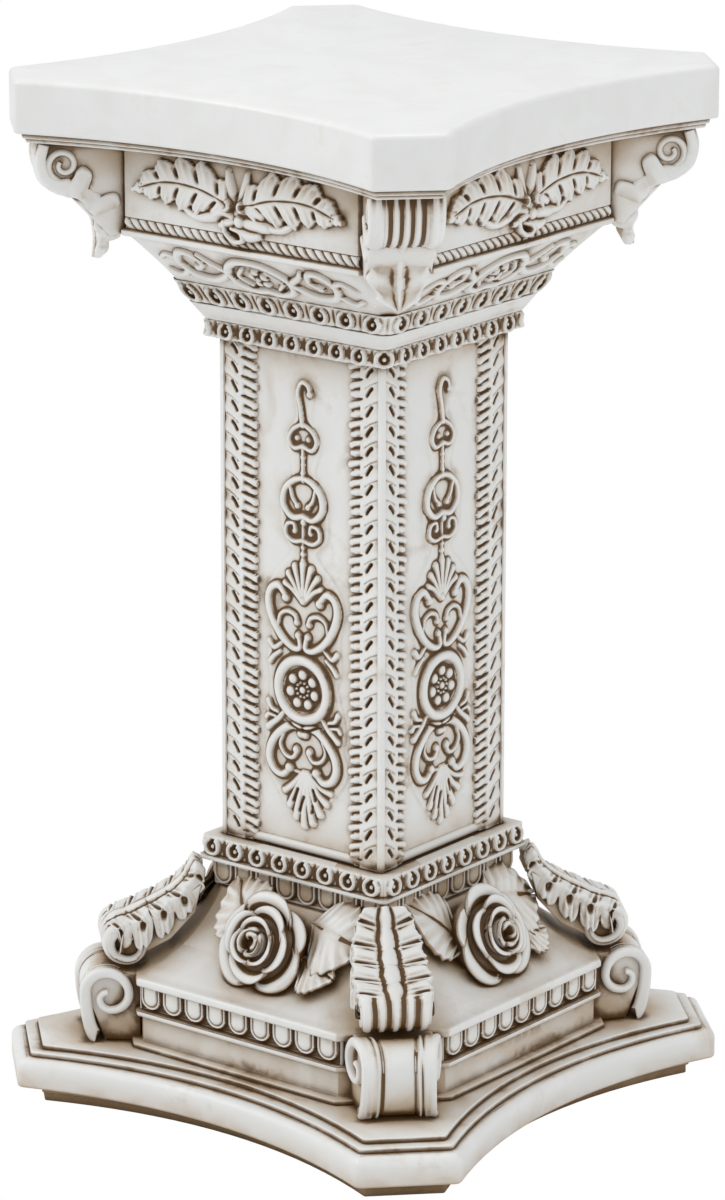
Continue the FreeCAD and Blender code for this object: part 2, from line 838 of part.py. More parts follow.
def rose():
    """Open rose: three rings of petals on a cup, its axis out of the face and tipped up."""
    radius, depth = length("rose_radius"), length("rose_depth")
    rings = (
        (1.00, 0.62, 0.29, 5, 68.0, 8.0),
        (0.68, 0.86, 0.17, 3, 110.0, 40.0),
        (0.40, 1.00, 0.09, 2, 150.0, 75.0),
    )
    solids = [faceted_cup(radius * 0.3, radius * 0.74, -depth, depth * 0.4, 6)]
    for share, tall, opening, count, sweep, first in rings:
        for index in range(count):
            turn = first + index * 360.0 / count
            solids.append(petal(radius * share, depth * tall, radius * opening, sweep, turn))
    whole = fused(solids)
    whole.rotate(Vector(0, 0, 0), Vector(1, 0, 0), 90.0 - length("rose_tilt"))
    whole.translate(Vector(0, -length("rose_stand") + depth * 0.5, length("rose_level") - 2.0))
    return whole


def serrated_outline(long, wide, teeth, bite):
    """Leaf outline along +X from its stalk at the origin: toothed edges over a pointed oval."""
    def edge_at(share):
        return 0.5 * wide * math.sin(math.pi * share ** 0.8)

    upper = [(0.0, 0.0)]
    for index in range(teeth):
        low, high = (index + 0.35) / teeth, (index + 1.0) / teeth
        upper.append((low * long, edge_at(low) * (1.0 - bite)))
        upper.append(((low + 0.4 / teeth) * long, edge_at(min(0.97, low + 0.4 / teeth))))
    lower = [(x, -z) for x, z in reversed(upper[1:])]
    return upper + [(long, 0.0)] + lower


def leaf(long, wide, thick, teeth, bite):
    """Toothed leaf with a midrib, lying on the plane y = 0 and standing out towards -Y."""
    blade = raised(outline_face(serrated_outline(long, wide, teeth, bite)), 0.0, thick)
    root = wide * 0.07
    rib = raised(outline_face([(0, -root), (long * 0.85, 0), (0, root)]), thick * 0.5, thick * 1.3)
    return blade.fuse(rib)


def rose_leaves(flower, ground):
    """Pair of leaves that lie on the cavetto on either side of a rose."""
    run = block_half().number - beyond_shaft("cavetto_reach").number
    slope = math.degrees(math.atan2(run, length("cavetto_height")))
    pair = []
    for lift in (12.0, 150.0):
        blade = leaf(length("leaf_length"), length("leaf_width"), length("leaf_thickness") + 5.0, 3, 0.22)
        blade.translate(Vector(length("rose_radius") * 0.45, 4.4, 0))
        blade.rotate(Vector(0, 0, 0), Vector(0, 1, 0), -lift)
        blade.rotate(Vector(0, 0, 0), Vector(1, 0, 0), -slope + 4.0)
        blade.translate(Vector(0, -length("rose_stand") + 4.6, length("rose_level") + 0.5))
        pair.append(blade.cut(ground).cut(flower))
    return Part.makeCompound([biggest(blade) for blade in pair])


def flower_outline(x, z, reach, heart, petals):
    """Corners of a flower seen from the front, a point for each petal and a notch between."""
    corners = []
    for index in range(2 * petals):
        angle = math.radians(90.0 + index * 180.0 / petals)
        radius = heart if index % 2 else reach
        corners.append((x + radius * math.cos(angle), z + radius * math.sin(angle)))
    return corners


def biggest(shape):
    return max(shape.Solids, key=lambda solid: solid.Volume)


def leaf_spray():
    """Spray on the frieze of the capital: two toothed leaves that meet behind an open blossom."""
    face_at = frieze_half().number
    long, wide, thick = length("spray_length"), length("spray_width"), length("spray_thickness")
    middle = level("frieze") + 6.4
    solids = []
    for mirror in (1, -1):
        blade = leaf(long, wide, thick, 5, 0.3)
        angle = -11.0 if mirror > 0 else -169.0
        blade.rotate(Vector(0, 0, 0), Vector(0, 1, 0), angle)
        blade.translate(Vector(mirror * 1.5, -face_at, middle + 1.5))
        solids.append(blade)
    blossom = flower_outline(0.0, middle - 1.0, 0.5 * wide, 0.3 * wide, 5)
    solids.append(raised(outline_face(blossom), face_at, face_at + 1.6 * thick))
    return fused(solids)


def strap(start, middle, end, back, front):
    """Flat strap along an arc of the front plane, drawn through three points."""
    arc = Part.Arc(flat(*start), flat(*middle), flat(*end)).toShape()
    half = length("strap_width") / 2.0
    rims = ([], [])
    for index in range(3):
        share = arc.FirstParameter + (arc.LastParameter - arc.FirstParameter) * index / 2.0
        point = arc.Curve.value(share)
        outward = (point - arc.Curve.Center).normalize()
        for rim, reach in zip(rims, (half, -half)):
            place = point + outward * reach
            rim.append((place.x, place.z))
    return raised(outline_face(rims[0] + rims[1][::-1]), back, front)


def mirrored(solids):
    return [solid.mirror(Vector(0, 0, 0), Vector(1, 0, 0)) for solid in solids]


def hoop(x, z, outer, inner, back, front, sides, stretch=1.0):
    rims = [many_sided(x, z, radius, sides, stretch) for radius in (outer, inner)]
    return raised(holed_face(rims[0], rims[1]), back, front)


def panel_drop():
    """Hanging ornament of one panel: a palmette, a lyre of scrolls, a medallion with a seven-petalled flower,
    a second lyre and a stem with a loop. It is drawn in parts, of which its height measures 132, from the
    medallion's middle."""
    back = length("shaft_half") - length("panel_depth")
    front = back + 0.9 * length("panel_depth")
    low = back + 0.25 * length("panel_depth")
    part = length("drop_height") / 132.0
    hub = level("panels") + length("medallion_rise")
    rim = length("medallion_radius")

    def at(x, z):
        return x * part, hub + z * part

    def both_sides(half):
        return [at(x, z) for x, z in half] + [at(-x, z) for x, z in reversed(half) if x > 0]

    ground = both_sides((
        (0, -42), (10, -35), (15.5, -19), (12.5, -6), (12.5, 10),
        (14.5, 22), (4, 40), (7.5, 56), (3, 78), (0, 90),
    ))
    fan = both_sides(((0, -40.5), (6.4, -36.5), (9.4, -32), (8.6, -26.5), (3.6, -24)))
    shell = both_sides(((0, 38.5), (4.2, 36), (5.8, 31), (2, 26.5)))
    stem = both_sides(((0.9, 36), (0.9, 88)))
    arms = [
        strap(at(0.9, -13.4), at(6.0, -12.2), at(12.2, -17.6), low, front),
        strap(at(12.2, -17.6), at(13.0, -24.0), at(8.8, -27.2), low, front),
        strap(at(0.9, 13.0), at(5.0, 12.2), at(10.4, 18.0), low, front),
        strap(at(10.4, 18.0), at(12.2, 26.0), at(7.4, 29.6), low, front),
    ]
    solids = [
        raised(outline_face(ground), back, low),
        hoop(0, hub, rim, 0.74 * rim, low, front, 8),
        raised(outline_face(flower_outline(0, hub, 0.64 * rim, 0.37 * rim, 7)), low, front),
        raised(outline_face(fan), low, front),
        raised(outline_face(shell), low, front),
        raised(outline_face(stem), low, front),
        hoop(0, at(0, 56)[1], 5.6 * part, 3.4 * part, low, front, 8),
    ]
    return fused(solids + arms + mirrored(arms))


def cove_scroll():
    """Scrollwork that lies on the bell of the capital: an oval with a rosette and a C scroll to either side,
    drawn in parts, of which its half width measures 26.4."""
    low_half, high_half = beyond_shaft("row_reach").number, bell_half().number
    tall = length("bell_height")
    lean = math.degrees(math.atan2(high_half - low_half, tall))
    part = length("cove_scroll_half") / 26.4
    back, front = -3.0 * part, 2.2 * part
    rosette = raised(outline_face(many_sided(0, 0, 2.4 * part, 4)), back, front)
    solids = [hoop(0, 0, 5.8 * part, 3.4 * part, back, front, 8, 1.7), rosette]
    arms = [
        strap((8.4 * part, 0.5 * part), (14.0 * part, -3.6 * part), (21.0 * part, -3.2 * part), back, front),
        strap((21.0 * part, -3.2 * part), (26.4 * part, 0.8 * part), (21.0 * part, 4.6 * part), back, front),
    ]
    whole = fused(solids + arms + mirrored(arms))
    whole.rotate(Vector(0, 0, 0), Vector(1, 0, 0), lean)
    middle = (low_half + high_half) / 2.0
    whole.translate(Vector(0, 0.4 - middle, level("bell") + tall / 2.0 - 0.4))
    return whole


# --- capital ----------------------------------------------------------------------------------------------


def make_bell():
    """Bell of the capital: a splayed core on the upper beads, with the spigot that enters the shaft."""
    body = new_body("bell")
    high = size("bell_height")
    top_half, low_half = bell_half(), beyond_shaft("row_reach")
    pad(body, outline_sketch(body, "bell_block", octagon(top_half, size("bell_chamfer"))), high)
    outside = top_half + 2.0
    hollow = hollow_slope((low_half, as_size(0)), (top_half, high), size("bell_sag"))
    hollow += [(-outside, high, None), (-outside, as_size(0), None)]
    pocket_all_round(body, outline_sketch(body, "bell_hollow", hollow, "YZ_Plane"))
    shoulder = LEVEL["bell"] - LEVEL["collar"] - size("shaft_head")
    stub = shoulder + size("spigot_height")
    bore = size("shaft_half") - size("shaft_wall") - size("spigot_gap")
    neck = body.newObject("PartDesign::Pad", "bell_neck")
    neck.Profile = outline_sketch(body, "bell_neck_sketch", square(size("shaft_half")))
    neck.setExpression("Length", shoulder.text)
    neck.Reversed = True
    spigot = body.newObject("PartDesign::Pad", "bell_spigot")
    spigot.Profile = outline_sketch(body, "bell_spigot_sketch", square(bore))
    spigot.setExpression("Length", stub.text)
    spigot.Reversed = True
    seat(body, "bell")
    nodes["bell"] = body


def make_capital_block():
    """Rope moulding and frieze of the capital, then the two plates above it."""
    rope = new_body("rope_moulding")
    half, chamfer = frieze_half(), size("frieze_chamfer")
    fillet = size("rope_fillet_height")
    wide, cut = set_in(half, chamfer, -size("rope_reach"))
    pad(rope, outline_sketch(rope, "rope_fillet_plate", octagon(wide, cut)), fillet)
    pad(rope, outline_sketch(rope, "rope_plate", octagon(half, chamfer), offset=fillet), size("rope_height"))
    seat(rope, "rope")
    nodes["rope_moulding"] = rope

    frieze = new_body("capital_frieze")
    pad(frieze, outline_sketch(frieze, "frieze_block", octagon(half, chamfer)), size("frieze_height"))
    seat(frieze, "frieze")
    nodes["capital_frieze"] = frieze

    under = new_body("under_plate")
    wide, cut, sag = size("slab_half"), size("slab_chamfer"), size("slab_sag")
    narrow, narrow_cut = set_in(wide, cut, size("under_setback"))
    pad(under, outline_sketch(under, "under_sheet", octagon(narrow, narrow_cut, sag)), size("under_height"))
    seat(under, "under")
    nodes["under_plate"] = under

    slab = new_body("slab")
    tall = size("slab_height")
    pad(slab, outline_sketch(slab, "slab_plate", octagon(wide, cut, sag)), tall)
    splay_edges(slab, "slab_soft_edge", size("slab_splay"), lambda edge: at_level(edge, tall.number))
    seat(slab, "slab")
    nodes["slab"] = slab


# --- assembly ---------------------------------------------------------------------------------------------


def joined(*names):
    shapes = [nodes[name].Shape for name in names]
    return shapes[0].multiFuse(shapes[1:])


def place_ornament():
    """Ornament of the four corners and the four sides, each cut to lie on what carries it."""
    base = joined("base_block", "tongue_ring", "bead_ring")
    base_at_corner = turned(base, 45)
    roll = biggest(bolster().cut(base_at_corner))
    capital_at_corner = turned(joined("capital_frieze", "rope_moulding", "bell"), 45)
    volute = biggest(corner_volute().cut(capital_at_corner))
    leaf_scroll = biggest(console().cut(base_at_corner).cut(roll))
    for corner, angle in CORNERS.items():
        add_shape(f"corner_bolster_{corner}", turned(roll, angle))
        add_shape(f"acanthus_console_{corner}", turned(leaf_scroll, angle))
        add_shape(f"capital_volute_{corner}", turned(volute, angle))
    flower = biggest(rose().cut(base))
    leaves = rose_leaves(flower, base)
    neighbours = [turned(leaf_scroll, CORNERS[name]) for name in ("front_right", "front_left")]
    for neighbour in neighbours:
        leaves = leaves.cut(neighbour)
    scroll = biggest(cove_scroll().cut(joined("bell", "upper_beads", "rope_moulding")))
    spray = leaf_spray().cut(nodes["rope_moulding"].Shape)
    drop = panel_drop()
    frame = panel_frame()
    strip = tongue_strip()
    for side, angle in SIDES.items():
        add_shape(f"tongue_strip_{side}", turned(strip, angle))
        add_shape(f"rose_{side}", turned(flower, angle))
        add_shape(f"rose_leaves_{side}", turned(Part.makeCompound(leaves.Solids), angle))
        add_shape(f"panel_frame_{side}", turned(frame, angle))
        add_shape(f"panel_drop_{side}", turned(drop, angle))
        add_shape(f"cove_scroll_{side}", turned(scroll, angle))
        add_shape(f"leaf_spray_{side}", turned(biggest(spray), angle))


def check_and_write():
    doc.recompute()
    os.makedirs("parts", exist_ok=True)
    for obj in doc.Objects:
        if "Invalid" in obj.State or "Error" in obj.State:
            raise RuntimeError(f"{obj.Name} failed: {obj.State}")
    for name, obj in nodes.items():
        obj.Label = name
        if obj.Shape.isNull() or not obj.Shape.isValid() or not obj.Shape.Solids:
            raise RuntimeError(f"{name} has no valid solid")
    for name, obj in nodes.items():
        obj.Shape.exportStep(f"parts/{name}.step")


make_foot()
make_plinth()
make_block()
make_rings()
make_shaft()
make_bell()
make_capital_block()
doc.recompute()
place_ornament()
check_and_write()
print(len(nodes), "nodes, top at", level("top"))
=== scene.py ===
"""Antique-white pedestal column stand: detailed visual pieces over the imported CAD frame.

Lengths in this file are millimetres until a piece is written to its mesh, which is in metres. Every ornament
is worked out once for the front face or the right-hand front corner, and then turned round the stand.
"""
import logging
import math
from dataclasses import dataclass, field
from enum import Enum
from typing import Callable, Iterable, Sequence

import bmesh
import bpy
import numpy as np
from mathutils import Matrix, Vector


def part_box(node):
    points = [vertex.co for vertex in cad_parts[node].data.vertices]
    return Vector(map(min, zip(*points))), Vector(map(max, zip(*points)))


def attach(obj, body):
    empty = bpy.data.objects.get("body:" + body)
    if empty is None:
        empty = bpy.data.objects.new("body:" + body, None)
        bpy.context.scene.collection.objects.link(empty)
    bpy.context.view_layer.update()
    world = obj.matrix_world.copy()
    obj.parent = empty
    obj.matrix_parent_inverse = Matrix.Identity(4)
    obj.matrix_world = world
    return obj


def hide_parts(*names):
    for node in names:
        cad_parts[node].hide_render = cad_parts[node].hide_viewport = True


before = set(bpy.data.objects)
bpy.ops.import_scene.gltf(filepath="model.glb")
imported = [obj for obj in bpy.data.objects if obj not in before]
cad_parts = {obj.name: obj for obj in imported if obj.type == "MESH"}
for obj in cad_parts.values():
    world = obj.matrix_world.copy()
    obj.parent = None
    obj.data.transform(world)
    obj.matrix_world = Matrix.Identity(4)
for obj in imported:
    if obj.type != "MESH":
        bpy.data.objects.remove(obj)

MM = 0.001
CORNER_FLARE = 0.2126  # growth of a bolster's half width for each millimetre inwards
COARSE_EDGE = 1.1  # a vertex with a longer edge than this gets no hollow value
PANEL_RELIEF = 2.2  # the most that ornament stands out of the ground of a panel
WIDE_SHADE_REACH = 0.014  # in metres, how far the painted shade, a thin veil of wash, reaches out of a sheltered place
log = logging.getLogger("pedestal")
logging.basicConfig(level=logging.INFO, format="%(message)s")

Points = np.ndarray
Path2 = Sequence[tuple[float, float]]
Motif = Callable[[Points, float, Points], Points]
Colour = tuple[float, float, float]
Value = float | bpy.types.NodeSocket
Paint = Colour | bpy.types.NodeSocket


class Side(Enum):
    """The four faces, with the turn that takes the front face to each."""

    FRONT = 0.0
    RIGHT = 90.0
    BACK = 180.0
    LEFT = 270.0


class Corner(Enum):
    """The four corners, with the turn that takes the +X axis to each."""

    FRONT_RIGHT = -45.0
    BACK_RIGHT = 45.0
    BACK_LEFT = 135.0
    FRONT_LEFT = 225.0


def label(place: Side | Corner) -> str:
    """Lower-case name of a side or corner, as the CAD nodes use it."""
    return place.name.lower()


# ----------------------------------------------------------------------
# levels read from the frame
# ----------------------------------------------------------------------


def low(node: str, axis: int = 2) -> float:
    """Lowest coordinate of a CAD node, in millimetres."""
    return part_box(node)[0][axis] / MM


def high(node: str, axis: int = 2) -> float:
    """Highest coordinate of a CAD node, in millimetres."""
    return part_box(node)[1][axis] / MM


# ----------------------------------------------------------------------
# mesh helpers
# ----------------------------------------------------------------------


def mesh_points(mesh: bpy.types.Mesh) -> Points:
    """Vertex places of a mesh as an array of rows."""
    flat = np.empty(len(mesh.vertices) * 3)
    mesh.vertices.foreach_get("co", flat)
    return flat.reshape(-1, 3)


def set_points(mesh: bpy.types.Mesh, points: Points) -> None:
    """Writes vertex places back to a mesh."""
    mesh.vertices.foreach_set("co", np.ascontiguousarray(points, dtype=np.float64).ravel())
    mesh.update()


def turn_about_z(points: Points, degrees: float) -> Points:
    """Points turned about the stand's upright axis."""
    a = math.radians(degrees)
    turn = np.array([[math.cos(a), -math.sin(a), 0.0], [math.sin(a), math.cos(a), 0.0], [0.0, 0.0, 1.0]])
    return points @ turn.T


def mesh_from(bm: bmesh.types.BMesh, name: str) -> bpy.types.Mesh:
    """New mesh from an edit mesh, which is freed."""
    mesh = bpy.data.meshes.new(name)
    bm.to_mesh(mesh)
    bm.free()
    return mesh


def extruded(bm: bmesh.types.BMesh, faces: Sequence[bmesh.types.BMFace]) -> list[bmesh.types.BMVert]:
    """Extrudes faces in place and gives the new vertices."""
    grown = bmesh.ops.extrude_face_region(bm, geom=faces)["geom"]
    return [item for item in grown if isinstance(item, bmesh.types.BMVert)]


def soften(bm: bmesh.types.BMesh, edges: Sequence[bmesh.types.BMEdge], offset: float, segments: int) -> None:
    """Rounds edges by an offset in as many segments."""
    bmesh.ops.bevel(bm, geom=edges, offset=offset, segments=segments, affect="EDGES", profile=0.5,
                    material=-1)


def grid_mesh(name: str, across: int, along: int) -> bpy.types.Mesh:
    """Unit grid from 0 to 1 in u and v, laid in x and y."""
    bm = bmesh.new()
    bmesh.ops.create_grid(bm, x_segments=across, y_segments=along, size=0.5)
    bmesh.ops.translate(bm, verts=bm.verts, vec=(0.5, 0.5, 0.0))
    return mesh_from(bm, name)


def sheet(name: str, across: int, along: int, place: Callable[[Points, Points], Points]) -> bpy.types.Mesh:
    """Grid whose points are put in place by a formula of u and v.

    Args:
        name: name of the mesh.
        across: number of faces in u.
        along: number of faces in v.
        place: formula from u and v, each from 0 to 1, to rows of millimetres.

    Returns:
        The mesh, in millimetres.
    """
    mesh = grid_mesh(name, across, along)
    uv = mesh_points(mesh)
    set_points(mesh, place(uv[:, 0], uv[:, 1]))
    return mesh


def weld(mesh: bpy.types.Mesh, distance: float = 0.002, close_ends: bool = True) -> bpy.types.Mesh:
    """Joins doubled points, closes open rims and turns the normals outward."""
    bm = bmesh.new()
    bm.from_mesh(mesh)
    bmesh.ops.remove_doubles(bm, verts=bm.verts, dist=distance)
    if close_ends:
        rims = [edge for edge in bm.edges if edge.is_boundary]
        if rims:
            bmesh.ops.holes_fill(bm, edges=rims, sides=0)
    bmesh.ops.dissolve_degenerate(bm, dist=distance, edges=bm.edges)
    bmesh.ops.recalc_face_normals(bm, faces=bm.faces)
    bm.to_mesh(mesh)
    bm.free()
    return mesh


def merged(name: str, meshes: Iterable[bpy.types.Mesh]) -> bpy.types.Mesh:
    """One mesh from several."""
    bm = bmesh.new()
    for mesh in meshes:
        bm.from_mesh(mesh)
        bpy.data.meshes.remove(mesh)
    return mesh_from(bm, name)


def make_piece(
    name: str,
    mesh: bpy.types.Mesh,
    finish: bpy.types.Material,
    nodes: Sequence[str],
    turn: float = 0.0,
    smooth: bool = True,
) -> bpy.types.Object:
    """Turns a millimetre mesh to its side, writes it in metres and lets it stand for its CAD nodes.

    Args:
        name: piece name.
        mesh: mesh in millimetres, drawn for the front face or the +X axis.
        finish: its material.
        nodes: CAD nodes that the piece stands for.
        turn: turn about the upright axis in degrees.
        smooth: whether faces are shaded smooth.

    Returns:
        The finished object, at the origin and unturned.
    """
    if "hollow" not in mesh.attributes:
        hollow = hollow_values(mesh)
        mesh.attributes.new("hollow", "FLOAT", "POINT").data.foreach_set("value", hollow)
    mesh = mesh.copy()
    mesh.name = name
    set_points(mesh, turn_about_z(mesh_points(mesh), turn) * MM)
    if smooth:
        mesh.shade_smooth()
    else:
        mesh.shade_flat()
    piece = bpy.data.objects.new(name, mesh)
    bpy.context.scene.collection.objects.link(piece)
    mesh.materials.clear()
    mesh.materials.append(finish)
    if nodes:
        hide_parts(*nodes)
    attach(piece, "root")
    log.info("piece %-28s %7d faces", name, len(mesh.polygons))
    return piece


def hollow_values(mesh: bpy.types.Mesh, rounds: int = 20) -> Points:
    """How hollow each vertex of a mesh lies.

    Args:
        mesh: mesh in millimetres.
        rounds: rounds of smoothing that each point is compared with.

    Returns:
        A value for each vertex: 0.5 on flats and coarse faces, towards 1 in hollows, towards 0 on ridges.
    """
    count = len(mesh.vertices)
    normals = np.empty(count * 3)
    mesh.vertices.foreach_get("normal", normals)
    points = mesh_points(mesh)
    ends = np.empty(len(mesh.edges) * 2, dtype=np.int64)
    mesh.edges.foreach_get("vertices", ends)
    first, second = ends.reshape(-1, 2).T
    lengths = np.linalg.norm(points[first] - points[second], axis=1)
    degree = np.maximum(np.bincount(first, minlength=count) + np.bincount(second, minlength=count), 1)
    longest = np.zeros(count)
    np.maximum.at(longest, first, lengths)
    np.maximum.at(longest, second, lengths)
    coarse = longest > COARSE_EDGE
    if coarse.mean() > 0.5:
        return np.full(count, 0.5)
    smooth = points.copy()
    for _ in range(rounds):
        for axis in range(3):
            spread = np.bincount(first, weights=smooth[second, axis], minlength=count)
            spread += np.bincount(second, weights=smooth[first, axis], minlength=count)
            smooth[:, axis] = 0.3 * smooth[:, axis] + 0.7 * spread / degree
    lift = np.einsum("ij,ij->i", smooth - points, normals.reshape(-1, 3))
    return np.where(coarse, 0.5, np.clip(0.5 + lift, 0.0, 1.0))


# ----------------------------------------------------------------------
# relief: strokes pressed out of a flat ground
# ----------------------------------------------------------------------


def spline(points: Path2, steps: int = 7) -> Points:
    """Smooth path through points, as rows of x and z."""
    p = np.array(points, dtype=float)
    if len(p) < 3:
        return p
    ends = np.vstack([2 * p[0] - p[1], p, 2 * p[-1] - p[-2]])
    rows = []
    for a, b, c, d in zip(ends, ends[1:], ends[2:], ends[3:]):
        for t in np.linspace(0.0, 1.0, steps, endpoint=False):
            rows.append(
                0.5 * (2 * b + (c - a) * t + (2 * a - 5 * b + 4 * c - d) * t**2
                       + (3 * b - a - 3 * c + d) * t**3)
            )
    rows.append(p[-1])
    return np.array(rows)


@dataclass
class Relief:
    """Height field over a rectangle of the front plane, built from strokes, buttons and cuts.

    Attributes:
        x0: left edge.
        z0: lower edge.
        width: size in x.
        height: size in z.
        pitch: grid spacing.
    """

    x0: float
    z0: float
    width: float
    height: float
    pitch: float = 0.3
    depth: Points = field(init=False, repr=False)

    def __post_init__(self) -> None:
        """Lays out the grid, with every point far below the ground."""
        self.columns = max(2, round(self.width / self.pitch))
        self.rows = max(2, round(self.height / self.pitch))
        xs = self.x0 + np.linspace(0.0, self.width, self.columns + 1)
        zs = self.z0 + np.linspace(0.0, self.height, self.rows + 1)
        self.x, self.z = np.meshgrid(xs, zs)
        self.depth = np.full(self.x.shape, -9.0)

    def window(self, path: Points, reach: float) -> tuple[slice, slice]:
        """Rows and columns that a path with a reach can touch."""
        lo, hi = path.min(axis=0) - reach, path.max(axis=0) + reach
        step_x, step_z = self.width / self.columns, self.height / self.rows
        c0, c1 = int((lo[0] - self.x0) / step_x), int((hi[0] - self.x0) / step_x) + 2
        r0, r1 = int((lo[1] - self.z0) / step_z), int((hi[1] - self.z0) / step_z) + 2
        return slice(max(r0, 0), max(r1, 0)), slice(max(c0, 0), max(c1, 0))

    def nearest(self, path: Points, reach: float) -> tuple[tuple[slice, slice], Points, Points]:
        """Signed distance to a path and the share of its length at the nearest point, over its window."""
        area = self.window(path, reach)
        x, z = self.x[area], self.z[area]
        best = np.full(x.shape, 1e9)
        share = np.zeros(x.shape)
        spans = np.linalg.norm(np.diff(path, axis=0), axis=1)
        total, run = max(spans.sum(), 1e-9), 0.0
        for (ax, az), (bx, bz), span in zip(path, path[1:], spans):
            dx, dz = bx - ax, bz - az
            t = np.clip(((x - ax) * dx + (z - az) * dz) / max(span * span, 1e-12), 0.0, 1.0)
            d = np.hypot(x - ax - t * dx, z - az - t * dz)
            closer = d < np.abs(best)
            best = np.where(closer, np.copysign(d, dx * (z - az) - dz * (x - ax)), best)
            share = np.where(closer, (run + t * span) / total, share)
            run += span
        return area, best, share

    def put(self, area: tuple[slice, slice], depth: Points, soft: float = 0.25) -> None:
        """Joins a new height with the ones there, with a soft fillet between them."""
        old = self.depth[area]
        blend = np.clip(0.5 + 0.5 * (depth - old) / soft, 0.0, 1.0)
        self.depth[area] = old * (1 - blend) + depth * blend + soft * blend * (1 - blend) * 0.6

    def stroke(
        self, points: Path2, start: float, end: float | None = None, height: float = 1.4, base: float = 0.0,
        swell: float = 0.0,
    ) -> None:
        """Rounded stroke along a smooth path.

        Args:
            points: path through x and z.
            start: half width where it starts.
            end: half width where it ends, the same if left out.
            height: how far it stands out at its widest.
            base: level that it stands on.
            swell: extra half width half-way along.
        """
        path = spline(points)
        end = start if end is None else end
        area, d, share = self.nearest(path, max(start, end) + swell + 1.0)
        d = np.abs(d)
        half = start + (end - start) * share + swell * np.sin(np.pi * share)
        widest = max(start, end) + swell
        dome = np.sqrt(np.clip(1.0 - (d / half) ** 2, 0.0, None))
        round_top = dome * height * (0.45 + 0.55 * half / widest)
        outside = -(d - half) * 3.0
        self.put(area, base + np.where(d < half, round_top, outside))

    def ball(self, x: float, z: float, radius: float, height: float, base: float = 0.0) -> None:
        """Rounded button."""
        area, d, _ = self.nearest(np.array([(x, z), (x + 0.01, z)]), radius + 1.0)
        d = np.abs(d)
        top = np.sqrt(np.clip(1.0 - (d / radius) ** 2, 0.0, None)) * height
        self.put(area, base + np.where(d < radius, top, -(d - radius) * 3.0), 0.12)

    def ring(self, x: float, z: float, radius: float, tube: float, height: float,
             base: float = 0.0) -> None:
        """Round hoop."""
        area = self.window(np.array([(x, z), (x, z)]), radius + tube + 1.0)
        d = np.abs(np.hypot(self.x[area] - x, self.z[area] - z) - radius)
        top = np.sqrt(np.clip(1.0 - (d / tube) ** 2, 0.0, None)) * height
        self.put(area, base + np.where(d < tube, top, -(d - tube) * 3.0))

    def plate(self, outline: Path2, height: float, edge: float = 0.5) -> None:
        """Raised flat patch inside a closed smooth outline, with a sloping edge."""
        path = spline(list(outline) + [outline[0]])
        area, d, _ = self.nearest(path, 2.0)
        x, z = self.x[area], self.z[area]
        inside = np.zeros(x.shape, dtype=bool)
        for (ax, az), (bx, bz) in zip(path, path[1:]):
            crosses = (az > z) != (bz > z)
            with np.errstate(divide="ignore", invalid="ignore"):
                at = ax + (z - az) * (bx - ax) / (bz - az)
            inside ^= crosses & (x < at)
        signed = np.where(inside, np.abs(d), -np.abs(d))
        self.put(area, np.clip(signed / edge, -3.0, 1.0) * height)

    def carve(self, points: Path2, half: float, depth: float, end: float | None = None) -> None:
        """Presses a groove or slit along a path."""
        path = spline(points)
        end = half if end is None else end
        area, d, share = self.nearest(path, max(half, end) * 1.6)
        width = half + (end - half) * share
        self.depth[area] -= depth * np.exp(-((d / width) ** 2) * 1.6) * (self.depth[area] > -1.0)

    def leaf(self, stem: Path2, half: float, height: float, lobes: int = 5, slot: float = 1.0) -> None:
        """Acanthus leaf: a blade with leaning lobes on both sides of a curved midrib, and slots between them.

        Args:
            stem: path of the midrib from the stalk to the tip.
            half: half width at its widest.
            height: relief of the blade.
            lobes: lobes on each side.
            slot: depth of the slots.
        """
        path = spline(stem, 9)
        area, d, share = self.nearest(path, half + 1.5)
        out = np.abs(d)
        lean = share - 0.055 * out / max(half, 1.0) * 2.2
        phase = lean * lobes * 2 * np.pi
        body = np.sin(np.pi * np.clip(share, 0.02, 0.99) ** 0.72) ** 0.6
        edge = half * body * (0.86 + 0.14 * np.cos(phase)) + 0.2 * np.cos(3 * phase)
        across = np.clip(out / np.maximum(edge, 0.2), 0.0, 1.2)
        dome = np.clip(1.0 - across**2.4, 0.0, None) ** 0.5
        folds = 0.16 * np.cos(phase) + 0.07 * np.cos(3 * phase)
        rise = height * (0.35 + 0.65 * dome) * (1.0 + folds * np.clip(across * 1.6, 0.0, 1.0))
        ends = ((share > 0.002) & (share < 0.998)) | (out < 0.8)
        inside = (out < edge) & ends
        self.put(area, np.where(inside, rise, -(out - edge) * 3.0 - 0.2), 0.12)
        gap = np.clip(-np.cos(phase) - 0.78, 0.0, 1.0) / 0.22
        cut = gap * np.exp(-(((across - 0.50) / 0.20) ** 2)) * (share > 0.06) * (share < 0.9)
        rib = 0.5 * np.exp(-((out / 0.38) ** 2)) * (share < 0.93)
        self.depth[area] -= np.where(inside, slot * height * 0.6 * cut + rib * 0.45 * height, 0.0)

